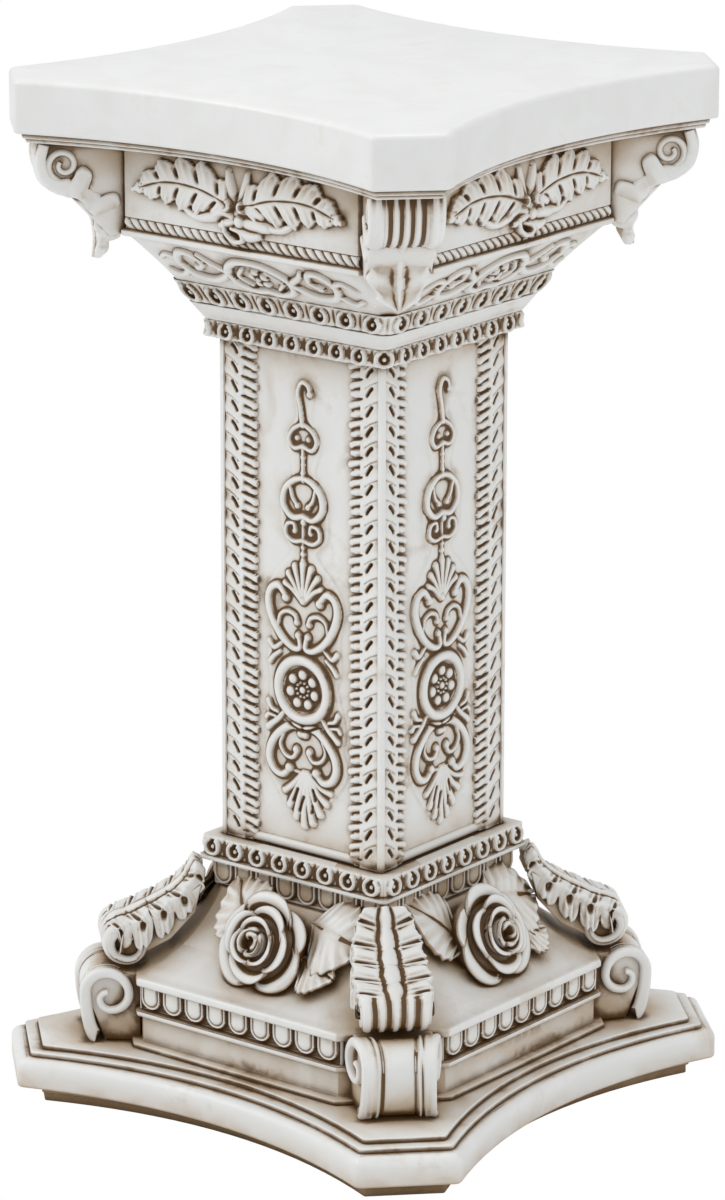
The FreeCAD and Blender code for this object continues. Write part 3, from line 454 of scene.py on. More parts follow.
    def mesh(self, name: str, wrap: Callable[[Points, Points, Points], Points],
             sink: float = 0.7) -> bpy.types.Mesh:
        """Closed mesh of what stands above the ground.

        Args:
            name: mesh name.
            wrap: formula from x, z and depth to rows of millimetres.
            sink: how far the back lies below the ground.

        Returns:
            The mesh, in millimetres.
        """
        mesh = grid_mesh(name, self.columns, self.rows)
        uv = mesh_points(mesh)
        column = np.rint(uv[:, 0] * self.columns).astype(int)
        row = np.rint(uv[:, 1] * self.rows).astype(int)
        depth = self.depth[row, column]
        x, z = self.x[row, column], self.z[row, column]
        set_points(mesh, wrap(x, z, np.maximum(depth, -sink)))
        bm = bmesh.new()
        bm.from_mesh(mesh)
        bm.verts.ensure_lookup_table()
        bare = [face for face in bm.faces if all(depth[vert.index] <= -0.3 * sink for vert in face.verts)]
        bmesh.ops.delete(bm, geom=bare, context="FACES")
        rims = [edge for edge in bm.edges if edge.is_boundary]
        edges = bmesh.ops.extrude_edge_only(bm, edges=rims)["geom"]
        back = [item for item in edges if isinstance(item, bmesh.types.BMVert)]
        bmesh.ops.translate(bm, verts=back, vec=(0.0, sink, 0.0))
        bmesh.ops.recalc_face_normals(bm, faces=bm.faces)
        bm.to_mesh(mesh)
        bm.free()
        return mesh


# ----------------------------------------------------------------------
# scrolls: bands that follow a path in the upright plane of a corner
# ----------------------------------------------------------------------


def quarter_turns(start: tuple[float, float], heading: float, radii: Sequence[float],
                  turn: float) -> Points:
    """Points along quarter-turn arcs that meet tangent, as rows of d and z.

    Args:
        start: first point.
        heading: direction of travel in degrees from the d axis.
        radii: radius of each quarter turn.
        turn: 1 for anticlockwise, -1 for clockwise.

    Returns:
        The points, ten to a quarter turn.
    """
    point, angle, rows = np.array(start), math.radians(heading), [np.array(start)]
    for radius in radii:
        centre = point + radius * turn * np.array([-math.sin(angle), math.cos(angle)])
        first = math.atan2(point[1] - centre[1], point[0] - centre[0])
        for share in np.linspace(0.0, 1.0, 11)[1:]:
            a = first + turn * share * math.pi / 2
            rows.append(centre + radius * np.array([math.cos(a), math.sin(a)]))
        point, angle = rows[-1], angle + turn * math.pi / 2
    return np.array(rows)


def resample(path: Points, count: int) -> tuple[Points, Points]:
    """Even points along a path and their unit tangents."""
    spans = np.concatenate([[0.0], np.cumsum(np.linalg.norm(np.diff(path, axis=0), axis=1))])
    runs = np.linspace(0.0, spans[-1], count)
    points = np.stack([np.interp(runs, spans, path[:, 0]), np.interp(runs, spans, path[:, 1])], axis=1)
    tangents = np.gradient(points, axis=0)
    tangents /= np.linalg.norm(tangents, axis=1)[:, None] + 1e-9
    return points, tangents


@dataclass
class Scroll:
    """Band with a closed section that follows a path in the plane of d (outward) and z (up).

    Attributes:
        path: points of its outer surface.
        width: half width at a share of the length.
        thick: thickness at a share of the length.
        skin: extra height at a share of the length, a share of the half width and a depth below the surface.
        along: faces along the path.
        across: faces round the section.
        outer: 1 where the outside lies to the left of travel, -1 to the right.
        round_edge: rounding of the section's corners.
        lean: how far the sides lean back along the path, for each millimetre of depth.
    """

    path: Points
    width: Callable[[Points], Points]
    thick: Callable[[Points], Points]
    skin: Callable[[Points, Points, Points], Points]
    along: int = 220
    across: int = 72
    outer: float = -1.0
    round_edge: float = 1.0
    lean: float = 0.0

    def mesh(self, name: str) -> bpy.types.Mesh:
        """Closed mesh in millimetres, with d along +X."""
        points, tangents = resample(self.path, self.along + 1)
        normal = self.outer * np.stack([-tangents[:, 1], tangents[:, 0]], axis=1)

        def place(u: Points, v: Points) -> Points:
            """Point of the band, from its run round the section and its share of the path."""
            index = np.rint(v * self.along).astype(int)
            half, thick = self.width(v), self.thick(v)
            perimeter = 4.0 * half + 2.0 * thick
            run = (u * perimeter) % perimeter
            top = run < 2 * half
            right = (run >= 2 * half) & (run < 2 * half + thick)
            under = (run >= 2 * half + thick) & (run < 4 * half + thick)
            below_y = np.where(right, half, np.where(under, 3 * half + thick - run, -half))
            below_down = np.where(right, run - 2 * half, np.where(under, thick, perimeter - run))
            y, down = np.where(top, -half + run, below_y), np.where(top, 0.0, below_down)
            edge = np.minimum(self.round_edge, 0.45 * np.minimum(half, thick))
            inner_y = np.clip(y, -half + edge, half - edge)
            inner_d = np.clip(down, edge, thick - edge)
            off_y, off_d = y - inner_y, down - inner_d
            size = np.hypot(off_y, off_d)
            scale = np.where(size > 1e-9, edge / np.maximum(size, 1e-9), 0.0)
            y = inner_y + off_y * scale
            down = inner_d + off_d * scale
            out_y = np.where(size > 1e-9, off_y / np.maximum(size, 1e-9), 0.0)
            out_n = np.where(size > 1e-9, -off_d / np.maximum(size, 1e-9), 0.0)
            lift = self.skin(v, y / half, down)
            back = self.lean * np.clip(down - 2.6, 0.0, None)
            d = points[index, 0] + normal[index, 0] * (-down + out_n * lift) - tangents[index, 0] * back
            z = points[index, 1] + normal[index, 1] * (-down + out_n * lift) - tangents[index, 1] * back
            return np.stack([d, y + out_y * lift, z], axis=1)

        return weld(sheet(name, self.across, self.along, place), 0.004)


# ----------------------------------------------------------------------
# materials
# ----------------------------------------------------------------------


@dataclass(frozen=True)
class Finish:
    """Painted cast finish with an antique wash, and painted shade in sheltered places.

    Attributes:
        body: colour of the paint, linear.
        wash: colour of a thin wash, also used for the painted shade of the veil.
        deep: colour where the wash pools, darkened towards painted shade in the most sheltered hollows.
        amount: strength of the wash in hollows and of the painted shade around them.
        smears: strength of loose smears on open faces.
        reach: how far the wash creeps out of a hollow, in metres.
        roughness: roughness of the paint.
    """

    name: str
    body: Colour = (0.83, 0.83, 0.815)
    wash: Colour = (0.41, 0.245, 0.080)
    deep: Colour = (0.105, 0.050, 0.012)
    amount: float = 1.0
    smears: float = 0.3
    reach: float = 0.0035
    roughness: float = 0.42


def linked(tree: bpy.types.NodeTree, kind: str, **values: object) -> bpy.types.Node:
    """New node with properties and input values set by name; a socket given as a value is linked."""
    node = tree.nodes.new(kind)
    for key, value in values.items():
        if hasattr(node, key) and key not in node.inputs:
            setattr(node, key, value)
    for key, value in values.items():
        if key in node.inputs:
            socket = node.inputs[key]
            if isinstance(value, bpy.types.NodeSocket):
                tree.links.new(value, socket)
            else:
                socket.default_value = value
    return node


def math_node(tree: bpy.types.NodeTree, operation: str, *values: Value) -> bpy.types.NodeSocket:
    """Result of a math node over numbers and sockets."""
    node = tree.nodes.new("ShaderNodeMath")
    node.operation = operation
    for socket, value in zip(node.inputs, values):
        if isinstance(value, bpy.types.NodeSocket):
            tree.links.new(value, socket)
        else:
            socket.default_value = value
    return node.outputs[0]


def mixed(tree: bpy.types.NodeTree, share: Value, first: Paint, second: Paint) -> bpy.types.NodeSocket:
    """Colour mix of two colours or sockets."""
    node = tree.nodes.new("ShaderNodeMix")
    node.data_type = "RGBA"
    sockets = [s for s in node.inputs if s.enabled]
    for socket, value in zip(sockets, (share, first, second)):
        if isinstance(value, bpy.types.NodeSocket):
            tree.links.new(value, socket)
        elif socket.type == "RGBA":
            socket.default_value = (*value, 1.0)
        else:
            socket.default_value = value
    return next(s for s in node.outputs if s.enabled)


def ramp(tree: bpy.types.NodeTree, value: bpy.types.NodeSocket, low_end: float,
         high_end: float) -> bpy.types.NodeSocket:
    """Smooth step from 0 at the low end to 1 at the high end."""
    node = linked(tree, "ShaderNodeMapRange", interpolation_type="SMOOTHSTEP")
    tree.links.new(value, node.inputs["Value"])
    node.inputs["From Min"].default_value = low_end
    node.inputs["From Max"].default_value = high_end
    return node.outputs["Result"]


def noise(tree: bpy.types.NodeTree, place: bpy.types.NodeSocket, scale: float, detail: float = 4.0,
          distortion: float = 0.0) -> bpy.types.NodeSocket:
    """Noise factor over Object coordinates."""
    node = linked(tree, "ShaderNodeTexNoise", Scale=scale, Detail=detail, Distortion=distortion)
    tree.links.new(place, node.inputs["Vector"])
    return node.outputs["Fac"]


def stirred(tree: bpy.types.NodeTree, value: bpy.types.NodeSocket, texture: bpy.types.NodeSocket,
            strength: float) -> bpy.types.NodeSocket:
    """Value moved up and down by a texture."""
    swing = math_node(tree, "MULTIPLY", math_node(tree, "SUBTRACT", texture, 0.5), strength)
    return math_node(tree, "ADD", value, swing)


def spared(tree: bpy.types.NodeTree, value: bpy.types.NodeSocket, mask: bpy.types.NodeSocket,
           strength: float) -> bpy.types.NodeSocket:
    """Value weakened where a mask is strong."""
    left = math_node(tree, "SUBTRACT", 1.0, math_node(tree, "MULTIPLY", mask, strength))
    return math_node(tree, "MULTIPLY", value, left)


def wash_and_shade_group() -> bpy.types.NodeTree:
    """Shared node group: the antique wash of a cast piece, with painted shade wherever ambient occlusion
    finds it sheltered, as a colour, a roughness and a height.
    """
    tree = bpy.data.node_groups.new("antique_wash", "ShaderNodeTree")
    interface = tree.interface
    for name, kind, start in (
        ("Body", "NodeSocketColor", (0.7, 0.7, 0.68, 1.0)),
        ("Wash", "NodeSocketColor", (0.3, 0.2, 0.1, 1.0)),
        ("Deep", "NodeSocketColor", (0.04, 0.02, 0.01, 1.0)),
        ("Amount", "NodeSocketFloat", 1.0),
        ("Smears", "NodeSocketFloat", 0.3),
        ("Hollow", "NodeSocketFloat", 0.5),
        ("Shelter", "NodeSocketFloat", 1.0),
        ("Wide shelter", "NodeSocketFloat", 1.0),
        ("Place", "NodeSocketVector", (0.0, 0.0, 0.0)),
    ):
        socket = interface.new_socket(name=name, in_out="INPUT", socket_type=kind)
        socket.default_value = start
    for name, kind in (("Colour", "NodeSocketColor"), ("Roughness", "NodeSocketFloat"),
                       ("Height", "NodeSocketFloat")):
        interface.new_socket(name=name, in_out="OUTPUT", socket_type=kind)
    source = tree.nodes.new("NodeGroupInput").outputs
    sink = tree.nodes.new("NodeGroupOutput").inputs
    place = source["Place"]
    cloud = noise(tree, place, 60.0, 5.0, 0.6)
    fine = noise(tree, place, 420.0, 5.0)
    speck = noise(tree, place, 1500.0, 3.0)

    closed = math_node(tree, "SUBTRACT", 1.0, source["Shelter"])
    ragged = stirred(tree, stirred(tree, closed, cloud, 0.55), fine, 0.22)
    pooled = ramp(tree, ragged, 0.03, 0.34)
    crease = ramp(tree, source["Hollow"], 0.515, 0.66)
    proud = ramp(tree, source["Hollow"], 0.44, 0.22)
    held = math_node(tree, "MAXIMUM", pooled, math_node(tree, "MULTIPLY", crease, 0.92))
    held = math_node(tree, "MULTIPLY", spared(tree, held, proud, 0.75), source["Amount"])

    smear = ramp(tree, noise(tree, place, 26.0, 6.0, 1.4), 0.56, 0.78)
    smear = math_node(tree, "MULTIPLY", smear, source["Smears"])
    # painted shade: wide ambient occlusion spreads a thin brown veil over everything sheltered under or
    # between parts, beyond the wash in the hollows
    broad = math_node(tree, "SUBTRACT", 1.0, source["Wide shelter"])
    shade_and_wash_veil = math_node(tree, "MULTIPLY", ramp(tree, stirred(tree, broad, cloud, 0.5), 0.06, 0.46), 0.9)
    shade_and_wash_veil = spared(tree, math_node(tree, "MULTIPLY", shade_and_wash_veil, source["Amount"]), proud, 0.7)
    thin = math_node(tree, "MAXIMUM", math_node(tree, "MAXIMUM", held, shade_and_wash_veil), smear)

    warm = mixed(tree, ramp(tree, cloud, 0.3, 0.7), (0.80, 0.79, 0.76), (0.93, 0.93, 0.92))
    paint = tree.nodes.new("ShaderNodeMix")
    paint.data_type, paint.blend_type = "RGBA", "MULTIPLY"
    ins = [s for s in paint.inputs if s.enabled]
    ins[0].default_value = 0.35
    tree.links.new(source["Body"], ins[1])
    tree.links.new(warm, ins[2])
    paint_out = next(s for s in paint.outputs if s.enabled)
    washed_and_shaded = mixed(tree, math_node(tree, "MULTIPLY", thin, 0.92), paint_out, source["Wash"])
    # painted shade: the most sheltered hollows darken to the deep colour, over the brown wash that pools
    # there
    washed_and_shaded = mixed(tree, ramp(tree, held, 0.52, 0.97), washed_and_shaded, source["Deep"])
    pits = ramp(tree, speck, 0.735, 0.80)
    washed_and_shaded = mixed(tree, math_node(tree, "MULTIPLY", pits, 0.55), washed_and_shaded, source["Wash"])
    tree.links.new(washed_and_shaded, sink["Colour"])
    rough = math_node(tree, "ADD", math_node(tree, "MULTIPLY", fine, 0.12),
                      math_node(tree, "MULTIPLY", thin, 0.16))
    tree.links.new(rough, sink["Roughness"])
    height = math_node(tree, "ADD", math_node(tree, "MULTIPLY", fine, 0.5),
                       math_node(tree, "MULTIPLY", pits, -0.9))
    height = math_node(tree, "ADD", height, math_node(tree, "MULTIPLY", cloud, 0.9))
    tree.links.new(height, sink["Height"])
    return tree


def cast_material(finish: Finish, group: bpy.types.NodeTree) -> bpy.types.Material:
    """Material of one finish: the shared wash over Object coordinates, shelter from ambient occlusion."""
    material = bpy.data.materials.new(finish.name)
    material.use_nodes = True
    tree = material.node_tree
    shader = tree.nodes["Principled BSDF"]
    place = tree.nodes.new("ShaderNodeTexCoord").outputs["Object"]
    shelter = linked(tree, "ShaderNodeAmbientOcclusion", samples=6, Distance=finish.reach)
    # wide ambient occlusion that drives the painted shade of the veil
    wide = linked(tree, "ShaderNodeAmbientOcclusion", samples=4, Distance=WIDE_SHADE_REACH)
    hollow = linked(tree, "ShaderNodeAttribute", attribute_name="hollow")
    node = tree.nodes.new("ShaderNodeGroup")
    node.node_tree = group
    for name, colour in (("Body", finish.body), ("Wash", finish.wash), ("Deep", finish.deep)):
        node.inputs[name].default_value = (*colour, 1.0)
    node.inputs["Amount"].default_value = finish.amount
    node.inputs["Smears"].default_value = finish.smears
    tree.links.new(hollow.outputs["Fac"], node.inputs["Hollow"])
    tree.links.new(shelter.outputs["AO"], node.inputs["Shelter"])
    tree.links.new(wide.outputs["AO"], node.inputs["Wide shelter"])
    tree.links.new(place, node.inputs["Place"])
    tree.links.new(node.outputs["Colour"], shader.inputs["Base Color"])
    tree.links.new(math_node(tree, "ADD", node.outputs["Roughness"], finish.roughness - 0.08),
                   shader.inputs["Roughness"])
    bump = linked(tree, "ShaderNodeBump", Strength=0.22, Distance=0.00025)
    tree.links.new(node.outputs["Height"], bump.inputs["Height"])
    tree.links.new(bump.outputs["Normal"], shader.inputs["Normal"])
    shader.inputs["Specular IOR Level"].default_value = 0.42
    return material


# ----------------------------------------------------------------------
# plates and rings
# ----------------------------------------------------------------------


def plan(half: float, chamfer: float, sag: float, steps: int = 18) -> list[tuple[float, float]]:
    """Corners of a square with cut corners whose long sides curve inwards by the sag."""
    reach = half - chamfer
    points: list[tuple[float, float]] = []
    for quarter in range(4):
        turn = math.radians(90.0 * quarter)
        count = steps if sag > 0 else 1
        for index in range(count + 1):
            x = -reach + 2 * reach * index / count
            y = -half + sag * (1.0 - (x / reach) ** 2)
            points.append((x * math.cos(turn) - y * math.sin(turn),
                           x * math.sin(turn) + y * math.cos(turn)))
    return points


@dataclass
class Plate:
    """Flat plate of the stand with softened edges.

    Attributes:
        half: half width.
        chamfer: leg of the cut corners.
        sag: how far the long sides curve inwards.
        lower: lower level.
        upper: upper level.
        soft: rounding of its edges.
        soft_top: rounding of its upper rim, the same if left out.
    """

    half: float
    chamfer: float
    sag: float
    lower: float
    upper: float
    soft: float = 0.4
    soft_top: float | None = None

    def mesh(self, name: str) -> bpy.types.Mesh:
        """Closed mesh of the plate."""
        bm = bmesh.new()
        for x, y in plan(self.half, self.chamfer, self.sag):
            bm.verts.new((x, y, self.lower))
        top = extruded(bm, [bm.faces.new(bm.verts)])
        bmesh.ops.translate(bm, verts=top, vec=(0.0, 0.0, self.upper - self.lower))
        bmesh.ops.recalc_face_normals(bm, faces=bm.faces)
        upright = [e for e in bm.edges if abs(e.verts[0].co.z - e.verts[1].co.z) > 0.01
                   and e.calc_face_angle(0) > 0.4]
        soften(bm, upright, self.soft * 1.6, 3)
        rims = [e for e in bm.edges if abs(e.verts[0].co.z - e.verts[1].co.z) < 0.01
                and e.calc_face_angle(0) > 0.4]
        top_soft = self.soft if self.soft_top is None else self.soft_top
        upper = [e for e in rims if e.verts[0].co.z > (self.lower + self.upper) / 2]
        lower = [e for e in rims if e not in upper]
        soften(bm, upper, top_soft, 5)
        soften(bm, [e for e in lower if e.is_valid], self.soft, 3)
        return mesh_from(bm, name)


def inset_plan(half: float, chamfer: float, inset: float) -> tuple[float, float]:
    """Half width and chamfer of a cut-corner square set evenly inside another."""
    return half - inset, chamfer - inset * (2.0 - math.sqrt(2.0))


# ----------------------------------------------------------------------
# sub-assemblies
# ----------------------------------------------------------------------


@dataclass
class Foundation:
    """Foot, stepped plinth and the slabs above the capital."""

    half: float = 82.7
    chamfer: float = 20.6
    sag: float = 12.3
    step: float = 1.45
    slab_half: float = 77.1
    slab_chamfer: float = 14.6
    slab_sag: float = 12.0

    def build(self, stone: bpy.types.Material, dark: bpy.types.Material, slab: bpy.types.Material) -> None:
        """Makes the plates and registers them for their CAD nodes."""
        foot_half, foot_chamfer = inset_plan(self.half, self.chamfer, 7.2)
        low_half, low_chamfer = inset_plan(self.half, self.chamfer, 8.0)
        middle = high("foot") * 0.52
        foot = [
            Plate(low_half, low_chamfer, self.sag, 0.0, middle, 0.3).mesh("foot_low"),
            Plate(foot_half, foot_chamfer, self.sag, middle - 0.3, high("foot") - 0.02,
                  0.35).mesh("foot_high"),
        ]
        make_piece("foot_plate", merged("foot_plate", foot), dark, ["foot"], smooth=False)
        top, bottom = high("plinth"), low("plinth")
        layers = [Plate(self.half, self.chamfer, self.sag, bottom, top - 2 * self.step, 0.9,
                        2.9).mesh("band")]
        for inset, lower, upper in ((4.0, top - 2 * self.step, top - self.step),
                                    (7.6, top - self.step, top)):
            half, chamfer = inset_plan(self.half, self.chamfer, inset)
            layers.append(Plate(half, chamfer, self.sag, lower - 0.3, upper, 0.45).mesh("step"))
        make_piece("plinth_steps", merged("plinth_steps", layers), stone, ["plinth"])
        under_half, under_chamfer = inset_plan(self.slab_half, self.slab_chamfer, 2.4)
        low_half, low_chamfer = inset_plan(self.slab_half, self.slab_chamfer, 3.4)
        seat, shelf = low("under_plate"), high("under_plate")
        sheets = [
            Plate(low_half, low_chamfer, self.slab_sag, seat, seat + 1.6, 0.4).mesh("low_sheet"),
            Plate(under_half, under_chamfer, self.slab_sag, seat + 1.2, shelf, 0.4).mesh("high_sheet"),
        ]
        make_piece("under_sheets", merged("under_sheets", sheets), stone, ["under_plate"])
        plate = Plate(self.slab_half, self.slab_chamfer, self.slab_sag, low("slab"), high("slab"), 0.8, 1.7)
        make_piece("slab_plate", plate.mesh("slab"), slab, ["slab"])


def shaped_ring(name: str, profile: Sequence[tuple[float, float]],
                chamfer: Callable[[float], float]) -> bpy.types.Mesh:
    """Ring with a moulded profile and cut corners.

    Args:
        name: name of the mesh.
        profile: half width and level of each line of the moulding, from the foot up.
        chamfer: leg of the cut corners at a half width.

    Returns:
        Closed mesh in millimetres.
    """
    bm = bmesh.new()
    loops = []
    for half, z in profile:
        loops.append([bm.verts.new((x, y, z)) for x, y in plan(half, chamfer(half), 0.0)])
    edges = []
    for loop in loops:
        edges.append([bm.edges.new((a, b)) for a, b in zip(loop, loop[1:] + loop[:1])])
    for first, second in zip(edges, edges[1:]):
        bmesh.ops.bridge_loops(bm, edges=first + second)
    bmesh.ops.holes_fill(bm, edges=edges[0] + edges[-1], sides=0)
    bmesh.ops.recalc_face_normals(bm, faces=bm.faces)
    sharp = [e for e in bm.edges if len(e.link_faces) == 2 and e.calc_face_angle(0) > 0.5]
    soften(bm, sharp, 0.22, 2)
    return mesh_from(bm, name)


@dataclass
class Block:
    """Block of the base with its curb, dado, fillets and the cavetto up to the shaft."""

    half: float = 57.4
    chamfer: float = 21.6
    curb: float = 1.5
    low_fillet: float = 28.4
    bow: float = 3.2
    neck: float = 32.6

    def profile(self) -> list[tuple[float, float]]:
        """Half width and level up the block."""
        base = low("base_block")
        lift = low("tongue_strip_front")
        cap = high("tongue_strip_front")
        rows = [
            (self.half + 3.0, base), (self.half + 3.0, base + self.curb - 0.3),
            (self.half + 2.2, base + self.curb),
            (self.half, base + self.curb + 0.2), (self.half, lift - 1.9), (self.half + 1.6, lift - 1.7),
            (self.half + 1.9, lift - 1.2), (self.half + 1.9, lift - 0.3), (self.half + 1.6, lift),
            (self.half - 0.9, lift + 0.1), (self.half - 0.9, cap - 0.1), (self.half + 1.5, cap),
            (self.half + 1.9, cap + 0.4),
            (self.half + 1.9, cap + 1.9), (self.half + 1.4, cap + 2.5), (self.half - 0.4, cap + 2.7),
        ]
        foot, head = cap + 2.7, low("tongue_ring")
        for share in np.linspace(0.06, 1.0, 14):
            width = self.half + (self.neck - self.half) * share
            inward = self.bow * 4.0 * share * (1.0 - share)
            rows.append((width - inward * 0.66, foot + (head - foot) * share - inward * 0.74 * 0.9))
        return rows

    def build(self, finish: bpy.types.Material) -> None:
        """Makes the block."""

        def cut(half: float) -> float:
            """Leg of the cut corners."""
            return max(self.chamfer - (self.half - half) * 0.62, 4.0)

        mesh = shaped_ring("block", self.profile(), cut)
        make_piece("base_block_cast", mesh, finish, ["base_block"])


def tongue_height(across: Points, z: Points, lower: float, width: float, rise: float) -> Points:
    """Height of a hanging tongue with a raised rim, from the distance to its middle and the level."""
    w = width / 2
    foot = lower + 0.35 + w
    beyond = np.where(z < foot, np.hypot(across, (z - foot) * 1.05) - w, np.abs(across) - w)
    bulge = np.clip(-beyond / w, 0.0, 1.0)
    body = rise * (0.45 + 0.55 * np.sqrt(np.clip(1 - (1 - bulge) ** 2, 0, 1)))
    rim = 0.30 * np.exp(-(((beyond + 0.5) / 0.30) ** 2))
    groove = -0.42 * np.exp(-(((beyond + 1.15) / 0.26) ** 2))
    return np.clip(-beyond / 0.35, 0.0, 1.0) * (body + rim + groove)


def cup_height(across: Points, up: Points, radius: float) -> Points:
    """Height of a horseshoe cup with a ball in it, from the place beside its middle."""
    d = np.hypot(across, up)
    ring_at = radius - 0.8
    opening = np.clip((np.abs(np.arctan2(across, up)) - 0.30) / 0.25, 0.0, 1.0)
    hoop = 1.3 * np.sqrt(np.clip(1.0 - ((d - ring_at) / 0.85) ** 2, 0.0, None)) * opening
    cup = -1.3 * np.sqrt(np.clip(1.0 - (d / (ring_at - 0.2)) ** 2, 0.0, None))
    ball = 1.9 * np.sqrt(np.clip(1.0 - (np.hypot(across, up + 0.1) / 0.95) ** 2, 0.0, None))
    return np.where(d < ring_at, np.maximum(cup + ball, np.where(d > ring_at - 0.85, hoop + cup, -9.0)),
                    hoop)


@dataclass
class TongueRow:
    """Straight row of hanging tongues, as a relief on a flat strip."""

    count: int
    pitch: float
    width: float
    lower: float
    upper: float
    half: float
    plane: float
    rise: float = 1.5

    def mesh(self, name: str) -> bpy.types.Mesh:
        """Closed mesh for the front face."""
        relief = Relief(-self.half, self.lower, 2 * self.half, self.upper - self.lower, 0.27)
        reach = self.pitch * self.count / 2
        across = ((relief.x + reach) % self.pitch) - self.pitch / 2
        row = tongue_height(across, relief.z, self.lower, self.width, self.rise)
        relief.depth = np.where(np.abs(relief.x) < reach, row, 0.6)

        def wrap(x: Points, z: Points, depth: Points) -> Points:
            """Place of a relief point."""
            return np.stack([x, -(self.plane + depth), z], axis=1)

        return relief.mesh(name, wrap, 1.0)


@dataclass
class RingBand:
    """Moulded ring round the shaft, one closed surface with a relief on its four sides.

    Attributes:
        low_half: half width at its foot.
        high_half: half width at its head.
        lower: level of its foot.
        upper: level of its head.
        corner: rounding of its corners in plan.
        motif: relief from the run measured from a side's middle, the length of a side and the level.
        wall: how far the ring reaches inwards.
    """

    low_half: float
    high_half: float
    lower: float
    upper: float
    corner: float
    motif: Motif
    wall: float = 5.0

    def mesh(self, name: str) -> bpy.types.Mesh:
        """Closed mesh of the whole ring."""
        r = self.corner
        reference = max(self.low_half, self.high_half)
        straight, arc = 2 * (reference - r), math.pi * r / 2
        side = straight + arc
        around = int(4 * side / 0.34)
        face = np.linspace(self.lower + 0.12, self.upper - 0.12,
                           max(8, int((self.upper - self.lower) / 0.28)))
        rows = [(-self.wall + step, self.lower, 0.0) for step in np.arange(0.0, self.wall - 0.3, 1.0)]
        rows += [(0.0, z, 1.0) for z in face]
        rows += [(-0.35 - step, self.upper, 0.0) for step in np.arange(0.0, self.wall - 0.4, 1.0)]
        rows.append(rows[0])
        inset, level, weight = (np.array(column) for column in zip(*rows))

        def place(u: Points, v: Points) -> Points:
            """Place of a point of the sheet."""
            index = np.rint(v * (len(rows) - 1)).astype(int)
            run = (u * 4 * side) % (4 * side)
            quarter = np.floor(run / side)
            along = run - quarter * side
            bend = np.clip((along - straight) / max(r, 1e-6), 0.0, math.pi / 2)
            on_side = along < straight
            flat_x = np.where(on_side, along - straight / 2, reference - r + r * np.sin(bend))
            flat_y = np.where(on_side, -reference, -(reference - r) - r * np.cos(bend))
            nx, ny = np.where(on_side, 0.0, np.sin(bend)), np.where(on_side, -1.0, -np.cos(bend))
            z = level[index]
            share = (z - self.lower) / (self.upper - self.lower)
            shrink = (self.low_half + (self.high_half - self.low_half) * share - reference) / reference
            local = (along + side - straight / 2 + side / 2) % side - side / 2
            lift = weight[index] * self.motif(local, side, z)
            shrink = shrink + inset[index] / reference
            x, y = flat_x * (1 + shrink) + nx * lift, flat_y * (1 + shrink) + ny * lift
            turn = quarter * math.pi / 2
            return np.stack([x * np.cos(turn) - y * np.sin(turn), x * np.sin(turn) + y * np.cos(turn), z],
                            axis=1)

        return weld(sheet(name, around, len(rows) - 1, place), 0.003, close_ends=False)


def bead_motif(count: int, lower: float, upper: float, radius: float, fillet: float,
               at_corner: bool) -> Motif:
    """Relief of a row of cups.

    Args:
        count: cups to a side.
        lower: foot of the ring.
        upper: head of the ring.
        radius: radius of a cup.
        fillet: height of the plain fillet below the cups.
        at_corner: whether a cup lies on each corner.

    Returns:
        Relief from the run along a side, the length of a side and the level.
    """

    def motif(run: Points, side: float, z: Points) -> Points:
        """Height of the cups."""
        pitch = side / count
        shift = 0.5 if at_corner == bool(count % 2) else 0.0
        across = ((run / pitch + 0.5 + shift) % 1.0 - 0.5) * pitch
        middle = (lower + fillet + upper) / 2
        cups = cup_height(across, z - middle, min(radius, (upper - lower - fillet) / 2 + 0.1))
        notch = -0.45 * np.exp(-(((np.abs(across) - pitch / 2) / 0.55) ** 2))
        row = np.where(np.abs(cups) > 0.03, cups, notch)
        groove = -0.5 * np.exp(-(((z - lower - fillet - 0.15) / 0.22) ** 2))
        return np.where(z < lower + fillet, 0.75 if fillet > 0 else 0.0, row + groove)

    return motif


def tongue_motif(count: int, lower: float, width: float, rise: float) -> Motif:
    """Relief of a row of tongues: as many to a side, with a foot level, a width and a rise."""

    def motif(run: Points, side: float, z: Points) -> Points:
        """Height of the tongues."""
        pitch = side / count
        shift = 0.5 if count % 2 == 0 else 0.0
        across = ((run / pitch + 0.5 + shift) % 1.0 - 0.5) * pitch
        return tongue_height(across, z, lower, width, rise)

    return motif


